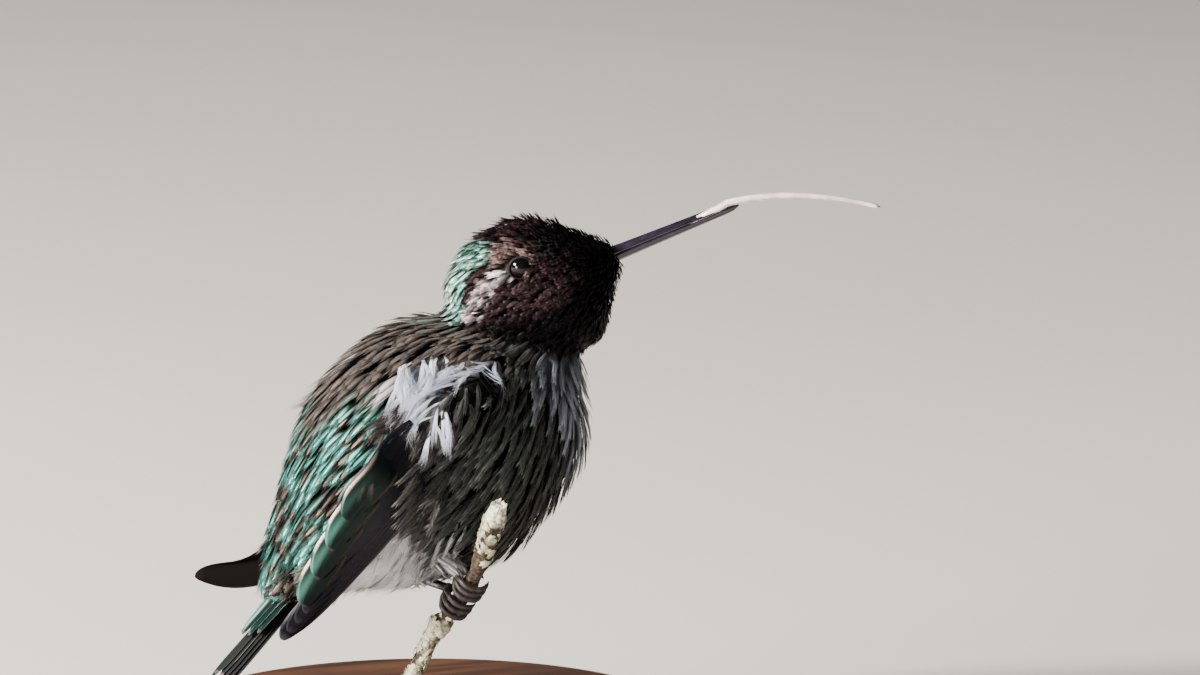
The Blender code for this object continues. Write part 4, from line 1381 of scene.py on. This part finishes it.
# %% White shoulder tuft
def fall_in(p, normal):
    """A lie that gathers the plumes of the tuft towards one place low on the flank."""
    flow = unit(trunk_spot(21.5, 66, 1 if p[1] > 0 else -1) - p) + np.array([0, 0, -0.35])
    return unit(flow - normal * np.dot(flow, normal))


tuft_corners = np.array(TUFT_AREA)
tuft_roots, tuft_lengths = [], []
for share, count in ((0, 17), (0.12, 16), (0.24, 14), (0.36, 12), (0.48, 10), (0.62, 8)):
    # The rows narrow from the tuft's upper edge to the place where the plumes gather.
    starts, ends = (corner * (1 - share) + tuft_corners[2] * share for corner in tuft_corners[:2])
    tuft_roots.append(row(*starts, *ends, count, (-1,)))
    tuft_lengths += [6.6 - 3.0 * share] * count
# One more row closes the tuft's lower edge.
tuft_roots.append(row(36.5, 46, 25.5, 61, 14, (-1,)))
tuft_lengths += [4.4] * 14
plant("white shoulder tuft", np.vstack(tuft_roots), TUFTS, DOWN, "thigh_white", np.array(tuft_lengths),
      3.1, 2.3, lift=0.6, yaw=0.36, tones=("#ccd4ea", "#ffffff"), edge_share=0.8, contrast=0.2,
      flow=fall_in)
left_roots = rows((27, 26, 36, 50, 16), (26, 34, 33, 54, 13), (25, 44, 29, 58, 8), sides=(1,))
plant("closed white tuft", left_roots, TUFTS, DOWN, "thigh_white", 5.2, 3.0, 1.3, lift=0.2, yaw=0.3,
      tones=("#e3e8f6", "#ffffff"), edge_share=0.5, contrast=0.1, flow=fall_in)


# %% [markdown]
# ## Hard parts: bill, tongue, eyes, feet
# The bill is a horn sheath over bone. Its two halves meet in a fine seam; the nostril is a slit at the
# base under a small flap, and the horn is polished by wear, so that light runs along it in thin lines.

# %% Bill
# Worn horn is nearly black with a blue cast, and its grain runs along the bill.
horn = grained("bill horn, worn smooth", 0.22, ((0.3, "#0e0c12"), (0.7, "#262031")), 1.0, 4.0,
               stretch=(60, 1500, 1500), turn=(0, HEAD_PITCH, -HEAD_YAW), strength=0.12, depth_mm=0.04,
               Coat_Weight=0.3)
BILL_STEPS = 26
SEAM = 0.035  # half of the gap between the halves, mm


def bill_half(upper, length):
    """Half of the bill, starting inside the face feathers; flat where it meets the other half."""
    sign = 1 if upper else -1
    shares = np.linspace(-0.2, 1.0, BILL_STEPS)
    path = [head_point(BILL_AT + length * t, 0, BILL_DROP + sign * 0.02) for t in shares]
    radii = []
    for t in shares:
        r = 0.92 + (0.62 - 0.92) * max(t, 0.0) ** 0.8
        r *= 1.0 if t < 0.9 else math.sqrt(max(0.03, 1 - ((t - 0.9) / 0.1) ** 2 * 0.75))
        radii.append(r * (1 + 0.25 * max(0.0, -t)))

    def shape(k, a):
        ridge = 1 + 0.04 * math.cos(6 * a) * smooth(1.0, 0.4, shares[k])
        if not upper:
            return ridge
        near_base = math.exp(-((shares[k] - 0.03) / 0.06) ** 2)
        on_side = math.exp(-((abs(math.sin(a)) - 0.86) / 0.16) ** 2)
        return ridge - 0.22 * near_base * on_side
    bm = sweep(path, radii, 28, flat_axis=HEAD_UP, shape=shape)
    cut_off(bm, head_point(0, 0, BILL_DROP + sign * SEAM), HEAD_UP * -sign)
    return bm


add_bmesh_piece("bill upper half", bill_half(True, 13.2), horn, ("bill_upper",))
add_bmesh_piece("bill lower half", bill_half(False, 15.2), horn, ("bill_lower",))

# %% [markdown]
# The tongue is two thin rolled strands side by side, wet and translucent, forked at the very tip. It
# leaves between the bill's halves and droops in a long arc.

# %% Tongue
# Light soaks a little way into wet flesh and comes out redder; the wet film gives sharp glints.
flesh = grained("tongue, wet and translucent", 0.18, ((0.35, "#dcc2c1"), (0.65, "#f4e8e7")), 700.0, 2.0,
                Subsurface_Weight=0.5, Subsurface_Radius=(0.0012, 0.0006, 0.0005), Coat_Weight=0.6)
TONGUE_LENGTH = 19.0  # mm, beyond the bill's tip


def tongue_path(offset, spread, steps=34):
    """The droop of the tongue, for one of its two strands."""
    inside_bill = ((9.0, 0.12), (12.6, 0.3))
    path = [head_point(BILL_AT + far, offset, BILL_DROP + up) for far, up in inside_bill]
    place = head_point(BILL_AT + 13.5, 0, BILL_DROP + 0.6)
    for k in range(steps):
        part = k / (steps - 1)
        slope = math.radians(-7 - 30 * part ** 0.8)
        ahead = HEAD_AHEAD * math.cos(slope) + HEAD_UP * math.sin(slope)
        place = place + ahead * TONGUE_LENGTH / steps
        path.append(place + HEAD_RIGHT * (offset * (1 - 0.45 * part) + spread * smooth(0.9, 1.0, part)))
    return path


tongue = bmesh.new()
for hand in (-1, 1):
    path = tongue_path(0.2 * hand, 0.16 * hand)
    radii = [0.44 - 0.2 * k / (len(path) - 1) for k in range(len(path))]
    radii[-1] = 0.06
    merge_into(tongue, sweep(path, radii, 12, flat_axis=HEAD_UP))
add_bmesh_piece("forked tongue", tongue, flesh, ("tongue",))

# %% [markdown]
# The eye is a black glossy ball with a clear bulging front, held in a ring of thin bare skin. The ring
# is a small profile turned round the eye's axis, a little longer fore and aft, with fine folds.

# %% Eyes and eyelids
# A wet cornea is as smooth as glass, over an iris so dark that it looks black.
eye_look = grained("eye, wet cornea over a dark iris", 0.02, ((0.4, "#050405"), (0.7, "#120d0c")), 900.0,
                   2.0, IOR=1.376)
# Bare lid skin is dry, with fine folds that break up its shine.
lid_look = grained("eyelid, thin folded skin", 0.7, ((0.35, "#080607"), (0.7, "#1a1416")), 3500.0, 3.0,
                   strength=0.5, depth_mm=0.05, Specular_IOR_Level=0.2)

EYE_RADIUS, EYE_SIDE = 1.6, 5.9
LID_PROFILE = ((1.20, 1.08), (1.23, 1.13), (1.28, 1.14), (1.34, 1.08), (1.42, 0.9), (1.5, 0.5),
               (1.35, 0.3))
for hand, label in ((1, "right"), (-1, "left")):
    centre = head_point(0, hand * EYE_SIDE, 0)
    out = HEAD_RIGHT * hand
    turn = Matrix((Vector(HEAD_AHEAD), Vector(HEAD_UP), Vector(out))).transposed().to_4x4()
    into_socket = Matrix.Translation(Vector(centre)) @ turn
    ball = bmesh.new()
    bmesh.ops.create_uvsphere(ball, u_segments=40, v_segments=24, radius=EYE_RADIUS)
    for v in ball.verts:
        # The clear front stands a little proud of the ball.
        if v.co.z > 0:
            off_axis = math.hypot(v.co.x, v.co.y)
            v.co.z += 0.14 * (1 - min(1.0, off_axis / 1.25) ** 2) ** 2
    bmesh.ops.transform(ball, matrix=into_socket, verts=ball.verts)
    add_bmesh_piece("eyeball " + label, ball, eye_look, ("eye_" + label,))

    lid = turned(LID_PROFILE, 64, closed=True)
    for v in lid.verts:
        a = math.atan2(v.co.y, v.co.x)
        fold = 1 + 0.012 * math.sin(31 * a) + 0.01 * math.sin(17 * a + 1)
        v.co.x *= 1.1 * fold
        v.co.y *= 0.98 * fold
    bmesh.ops.recalc_face_normals(lid, faces=lid.faces)
    bmesh.ops.transform(lid, matrix=into_socket, verts=lid.verts)
    add_bmesh_piece("eyelids " + label, lid, lid_look, ())

# %% [markdown]
# The feet grip the twig: three toes over the front and one behind. Toes are covered with overlapping
# plates, drawn as steps in the ring's size; each ends in a curved claw with a sharp point.

# %% Feet
TWIG_PATH = ((-3.6, -2.7, 8.2), (-1.3, -4.6, 14.9), (0.9, -6.9, 19.3), (1.5, -12.2, 24.6),
             (2.0, -17.4, 33.2))


def curve_through(stations, count):
    """Points on a smooth curve through the stations."""
    s = np.array(stations, float)
    padded = np.vstack([2 * s[0] - s[1], s, 2 * s[-1] - s[-2]])
    out = []
    for value in np.linspace(0, len(s) - 1, count):
        i = min(int(value), len(s) - 2)
        t = value - i
        a, b, c, d = padded[i:i + 4]
        out.append(0.5 * (2 * b + (c - a) * t + (2 * a - 5 * b + 4 * c - d) * t * t
                          + (3 * b - a - 3 * c + d) * t ** 3))
    return out


# Dry foot plates are dull horn, darker in the joints between them.
scute = grained("foot plates, dry horn skin", 0.5, ((0.3, "#181314"), (0.7, "#40363a")), 1800.0, 3.0)
TWIG_SAMPLES = 200
twig_fine = curve_through(TWIG_PATH, TWIG_SAMPLES)
TOE_RING = 1.05 + 0.14 + 0.3 + 0.34  # bark, lichen, play and the toe's own half thickness, mm
TOE = 0.33  # radius, mm
SHANK_STEPS, TOE_STEPS = 22, 30


def heel_at(at, hip):
    """The heel of a foot on the twig, with the twig's place and run there."""
    k = int(at * (TWIG_SAMPLES - 1))
    point, along = twig_fine[k], unit(twig_fine[k + 1] - twig_fine[k - 1])
    toward = np.array(hip) - point
    toward = unit(toward - along * np.dot(toward, along))
    return point + toward * (TOE_RING + 0.1), point, along, toward


def foot(at, hip):
    """The shank, heel, toes and claws of one foot, closed round the twig."""
    heel, point, along, toward = heel_at(at, hip)
    other = np.cross(along, toward)
    feet = bmesh.new()
    shank = [heel + (np.array(hip) - heel) * s for s in np.linspace(0.0, 0.45, SHANK_STEPS)]
    merge_into(feet, sweep(shank, [0.5 + 0.05 * (j % 2) for j in range(SHANK_STEPS)], 12))
    palm = bmesh.ops.create_uvsphere(feet, u_segments=18, v_segments=12, radius=0.66)["verts"]
    bmesh.ops.translate(feet, verts=palm, vec=Vector(heel))
    for shift, swing in ((-1.1, 205), (0.0, 217), (1.1, 205), (0.0, -120)):
        path, radii = [], []
        for j in range(TOE_STEPS):
            t = j / (TOE_STEPS - 1)
            turn = math.radians(swing) * t
            away = toward * math.cos(turn) + other * math.sin(turn)
            path.append(point + along * shift * min(1.0, 3.2 * t) + away * TOE_RING)
            # The last fifth of each toe narrows to the claw.
            claw = max(0.0, (t - 0.8) / 0.2)
            plate = 0.03 * ((j * 3) % 5 == 0) + 0.02 * math.sin(t * 19)
            radii.append((TOE + plate) * (1 - claw) + 0.06 * claw)
        merge_into(feet, sweep(path, radii, 12, flat_axis=along))
    return feet


print("toes close on a ring of", round(TOE_RING, 2), "mm")

# %% [markdown]
# Each foot is closed round the twig at its own height. Short pale plumes close round the shank, as
# trousers; they grow on a sleeve drawn round the leg.

# %% Feet on the twig, and their trousers
for label, at, hip in (("right", 0.68, (-2.6, -8.0, 26.6)), ("left", 0.545, (-4.4, 3.4, 23.0))):
    add_bmesh_piece("scaled foot " + label, foot(at, hip), scute, ("foot_" + label,))
    heel = heel_at(at, hip)[0]
    down_leg = heel - np.array(hip)
    sleeve_path = [hip + down_leg * s for s in np.linspace(-0.5, 1.0, 12)]
    trouser = Surface(sweep(sleeve_path, [1.2 - 0.5 * s / 11 for s in range(12)], 12))
    ring_roots = []
    for level in (-0.4, -0.15, 0.1, 0.3, 0.5):
        for k in range(9):
            turn = math.tau * (k + level * 3) / 9
            spoke = np.array([math.cos(turn), math.sin(turn), 0.0]) * 2
            ring_roots.append(trouser.nearest(hip + down_leg * level + spoke)[0])
    plant("trouser plumes " + label, np.array(ring_roots), PLUMES, DOWN, "thigh_white", 3.4, 2.6, 0.7,
          lift=0.5, yaw=0.2, tones=("#c3c6cd", "#f2f4f8"), contrast=0.15, surface=trouser,
          flow=lambda p, normal: unit(down_leg - normal * np.dot(down_leg, normal)))

# %% [markdown]
# The twig is a dead side shoot: rough grey-brown bark, swollen where buds sat, grown over with pale
# crusts of lichen, and snapped off at its upper end so that splinters stand up.

# %% Bark
# Weathered bark is rough and dull; where its place map is high, pale crusts cover it.
bark, bark_tree, bark_shader = new_material("bark with lichen", 0.88)
bark_coords = add_node(bark_tree, "ShaderNodeTexCoord").outputs["Object"]
bark_coarse, bark_fine = (add_node(bark_tree, "ShaderNodeTexNoise",
                                   {"Vector": bark_coords, "Scale": grains, "Detail": detail})
                          for grains, detail in ((420.0, 5.0), (2200.0, 4.0)))
bark_tone = add_node(bark_tree, "ShaderNodeValToRGB", {"Fac": bark_fine.outputs["Fac"]},
                     ((0.3, "#1b1512"), (0.55, "#4a3d31"), (0.8, "#7a6b57")))
bark_pale = add_node(bark_tree, "ShaderNodeValToRGB", {"Fac": bark_fine.outputs["Fac"]},
                     ((0.3, "#8e8b5f"), (0.5, "#d9d8c0"), (0.7, "#f4f3ea")))
bark_place = add_node(bark_tree, "ShaderNodeAttribute", attribute_name="markings")
bark_sum = add_node(bark_tree, "ShaderNodeMath",
                    {0: bark_place.outputs["Fac"], 1: bark_coarse.outputs["Fac"]}, operation="ADD")
bark_mask = add_node(bark_tree, "ShaderNodeMapRange",
                     {"Value": bark_sum.outputs[0], "From Min": 0.92, "From Max": 1.04})
bark_mix = add_node(bark_tree, "ShaderNodeMix",
                    {0: bark_mask.outputs["Result"], 6: bark_tone.outputs["Color"],
                     7: bark_pale.outputs["Color"]}, data_type="RGBA")
wire(bark_tree, bark_shader, bark_mix.outputs[2], bark_fine.outputs["Fac"], 0.9, 0.18)
print(bark.name, len(bark_tree.nodes), "nodes")

# %% [markdown]
# The twig is a ring of thirty points pulled along its curve. Its size swells at the knots, and each
# point is pushed in or out a little, so that ridges run along the bark.

# %% Twig with its broken end
def twig_radius(t):
    """Lumps and knots along the twig."""
    lump = 0.1 * math.sin(23 * t + 0.6) + 0.08 * math.sin(41 * t)
    knot = 0.3 * math.exp(-((t - 0.36) / 0.035) ** 2) + 0.3 * math.exp(-((t - 0.93) / 0.05) ** 2)
    return 1.0 + lump + knot


TWIG_STEPS, TWIG_SIDES = 110, 30
CUT_END = (-3.2, -3.0, 9.2)  # the level cut that stands in the rod's collar
twig_line = curve_through(TWIG_PATH, TWIG_STEPS)
# Each lump is the mean of a random value and its four neighbours.
rough = rng.normal(0, 1, (TWIG_STEPS, TWIG_SIDES))
rough = (rough + np.roll(rough, 1, 1) + np.roll(rough, -1, 1) + np.roll(rough, 1, 0)
         + np.roll(rough, -1, 0)) / 5


def bark_shape(k, a):
    """Ridges that run along the bark, and grain."""
    j = int((a + math.pi) / math.tau * TWIG_SIDES) % TWIG_SIDES
    return 1 + 0.09 * rough[k, j] + 0.035 * math.sin(5 * a + 0.2 * k)


twig_radii = [twig_radius(k / (TWIG_STEPS - 1)) for k in range(TWIG_STEPS)]
twig = sweep(twig_line, twig_radii, TWIG_SIDES, shape=bark_shape)
cut_off(twig, CUT_END, (0, 0, -1))
end, end_run = twig_line[-1], unit(twig_line[-1] - twig_line[-4])
first = unit(np.cross(end_run, [0, 0, 1]))
second = np.cross(end_run, first)
for k in range(14):
    # Splinters of the snapped end.
    around = k * 2.4
    splinter_foot = end - end_run * 0.5 + (first * math.cos(around) + second * math.sin(around)) * 0.75
    rise = 0.5 + 0.9 * rng.random()
    splinter = [splinter_foot, splinter_foot + end_run * rise * 0.6,
                splinter_foot + end_run * rise + second * 0.1]
    merge_into(twig, sweep(splinter, [0.3, 0.22, 0.05], 5))
twig_piece = add_bmesh_piece("twig", twig, bark, ("perch_twig",))

# Lichen grows on the twig's lower part and near its broken end, not where the feet hold it.
twig_co = np.array([v.co[:] for v in twig_piece.data.vertices]) / MM - ZERO
gaps = np.linalg.norm(twig_co[:, None, :] - np.array(twig_line)[None], axis=2)
share = gaps.argmin(axis=1) / (TWIG_STEPS - 1)
pale = np.clip(smooth(0.8, 0.9, share) + smooth(0.46, 0.38, share), 0, 1) * 0.5
place_map = twig_piece.data.color_attributes.new("markings", "FLOAT_COLOR", "POINT")
rgba = np.column_stack([pale, pale, pale, np.ones_like(pale)]).astype(np.float32)
place_map.data.foreach_set("color", rgba.ravel())

# %% [markdown]
# Crust lichen grows in small lobed discs that overlap. Each flake is a circle with an inset rim that is
# lifted unevenly, then given a thickness and stood on the bark.

# %% Lichen flakes
def lichen_flake(size, seed):
    """A crust flake: a small disc with a lobed, lifted rim, thickened to a crust."""
    pick = np.random.default_rng(seed)
    bm = bmesh.new()
    bmesh.ops.create_circle(bm, cap_ends=True, segments=14, radius=size)
    bmesh.ops.inset_region(bm, faces=bm.faces[:], thickness=size * 0.4)
    for v in bm.verts:
        reach = v.co.length / size
        v.co *= 1 + 0.35 * pick.uniform(-1, 1) * (reach > 0.8)
        v.co.z = 0.12 * size * pick.uniform(0.2, 1.0)
        if reach > 0.8:
            v.co.z += 0.3 * size * pick.uniform(0, 1)
    bmesh.ops.solidify(bm, geom=bm.faces[:], thickness=0.12 * size)
    return bm


flakes = bmesh.new()
for k in range(150):
    at = float(rng.choice([rng.uniform(0.03, 0.44), rng.uniform(0.8, 1.0)]))
    i = min(int(at * (TWIG_STEPS - 1)), TWIG_STEPS - 2)
    run_dir = unit(twig_line[i + 1] - twig_line[i])
    first = unit(np.cross(run_dir, [0.1, 0.2, 1]))
    second = np.cross(run_dir, first)
    a = rng.uniform(0, math.tau)
    away = first * math.cos(a) + second * math.sin(a)
    spin_by = Matrix.Rotation(rng.uniform(0, math.tau), 4, "Z")
    stand = Vector(away).to_track_quat("Z", "Y").to_matrix().to_4x4()
    flake = lichen_flake(rng.uniform(0.22, 0.6), 100 + k)
    onto_bark = Matrix.Translation(Vector(twig_line[i] + away * twig_radius(at) * 0.98))
    bmesh.ops.transform(flake, matrix=onto_bark @ stand @ spin_by, verts=flake.verts)
    merge_into(flakes, flake)
in_collar = [v for v in flakes.verts if v.co.z < CUT_END[2] + 0.2]
bmesh.ops.delete(flakes, geom=in_collar, context="VERTS")
# Dry crust is chalky: no shine at all, and cracked.
lichen = grained("lichen crust, dry and chalky", 0.95,
                 ((0.3, "#8c8a52"), (0.5, "#d4d3b4"), (0.65, "#f2f1e6")), 1500.0, 4.0, strength=0.8,
                 depth_mm=0.1)
add_bmesh_piece("lichen flakes", flakes, lichen, ())

# %% [markdown]
# ## Stand
# The base is turned from one disc of walnut on a lathe, with a soft top edge and a shallow bead, then
# oiled. A thin brass rod with a collar carries the twig's cut end.

# %% Turned base and rod
# Oiled walnut: long dark pores along the grain under a thin, uneven film.
wood = grained("turned walnut, oiled", 0.42, ((0.3, "#24160e"), (0.5, "#42291a"), (0.72, "#64442e")),
               1.0, 6.0, stretch=(18, 190, 190), distortion=0.6, strength=0.12, depth_mm=0.1,
               Coat_Weight=0.15)
# Brushed brass: fine rings round the rod that soften what it mirrors.
brass = grained("brass, brushed", 0.3, ((0.3, "#a07a3c"), (0.7, "#cfa865")), 1.0, 2.0,
                stretch=(300, 300, 9000), Metallic=1.0)
BASE_PROFILE = ((0, 0), (33.4, 0), (33.8, 0.25), (34, 0.7), (34, 3.0), (33.9, 3.5), (33.5, 4.0),
                (32.8, 4.35), (31.9, 4.45), (31.6, 4.6), (31.1, 4.9), (30.3, 5.0), (0, 5.0))
add_bmesh_piece("turned base", turned(BASE_PROFILE, 128), wood, ("stand_base",))
ROD_PROFILE = ((0, 5.02), (2.0, 5.02), (2.1, 5.15), (2.1, 5.5), (1.95, 5.68), (1.15, 5.75), (1.1, 5.9),
               (1.1, 8.6), (1.25, 8.68), (1.3, 8.8), (1.3, 9.05), (1.2, 9.16), (0, 9.16))
rod = turned(ROD_PROFILE, 48)
bmesh.ops.translate(rod, verts=rod.verts, vec=(CUT_END[0], CUT_END[1], 0))
add_bmesh_piece("brass rod", rod, brass, ("stand_rod",))

# %% [markdown]
# ## Floor, light and camera
# A pale floor, a soft key from the upper left on the tail's side, a second soft light lower down on the
# same side, a weak fill from the right, and the world as an even grey. The camera looks at the bird's
# right side from a little behind and above.

# %% Floor
# Matt paint takes a soft shadow and mirrors nothing.
floor_look = grained("pale matt floor", 0.9, ((0.3, "#d2d1cd"), (0.7, "#d8d7d3")), 6.0, 2.0)
floor_bm = bmesh.new()
bmesh.ops.create_grid(floor_bm, x_segments=1, y_segments=1, size=4.0)
bmesh.ops.translate(floor_bm, verts=floor_bm.verts, vec=(0, 0, -0.00005))
floor_mesh = bpy.data.meshes.new("floor")
floor_bm.to_mesh(floor_mesh)
floor_bm.free()
floor_mesh.materials.append(floor_look)
floor = bpy.data.objects.new("floor", floor_mesh)
bpy.context.scene.collection.objects.link(floor)
print("floor", tuple(floor.dimensions))

# %% Lights and camera
AZIMUTH, ELEVATION = math.radians(-25), math.radians(10)
TO_CAMERA = np.array([math.sin(AZIMUTH) * math.cos(ELEVATION), -math.cos(AZIMUTH) * math.cos(ELEVATION),
                      math.sin(ELEVATION)])
RIGHT = np.array([math.cos(AZIMUTH), math.sin(AZIMUTH), 0])
UP = np.cross(TO_CAMERA, RIGHT)
LOOK_AT = np.array([22.78, -1.04, 49.26])
CAMERA_DISTANCE = 1000  # mm


def in_frame(point_mm):
    """A point of the bird's own numbers in the shared frame."""
    return Vector((np.array(point_mm) + ZERO) * MM)


def soft_light(name, offset, size, power, tint):
    """A square soft box aimed at the middle of the bird."""
    lamp = bpy.data.lights.new(name, "AREA")
    lamp.size = size
    lamp.energy = power
    lamp.color = linear(tint)
    obj = bpy.data.objects.new(name, lamp)
    middle = in_frame((0, 0, 42))
    obj.location = middle + Vector(offset)
    obj.rotation_euler = (middle - obj.location).to_track_quat("-Z", "Y").to_euler()
    bpy.context.scene.collection.objects.link(obj)


soft_light("key", -RIGHT * 0.8 + UP * 0.4 + TO_CAMERA * 0.36, 0.22, 46.0, "#fff6ea")
soft_light("fill", RIGHT * 0.5 + UP * 0.25 + TO_CAMERA * 0.9, 0.7, 0.3, "#eef3ff")
soft_light("low side", -RIGHT * 0.75 + UP * 0.06 + TO_CAMERA * 0.62, 0.3, 13.0, "#fff6ea")
world = bpy.data.worlds.new("even grey")
world.use_nodes = True
world.node_tree.nodes["Background"].inputs["Color"].default_value = (*linear("#c9ccd2"), 1)
world.node_tree.nodes["Background"].inputs["Strength"].default_value = 0.15
bpy.context.scene.world = world

lens = bpy.data.cameras.new("camera")
lens.sensor_width = 36.0
lens.lens = 249.0
lens.clip_start, lens.clip_end = 0.01, 20.0
camera = bpy.data.objects.new("camera", lens)
camera.location = in_frame(LOOK_AT + TO_CAMERA * CAMERA_DISTANCE)
camera.rotation_euler = Matrix((RIGHT, UP, TO_CAMERA)).transposed().to_euler()
bpy.context.scene.collection.objects.link(camera)
bpy.context.scene.camera = camera
print("camera", [round(v, 3) for v in camera.location])
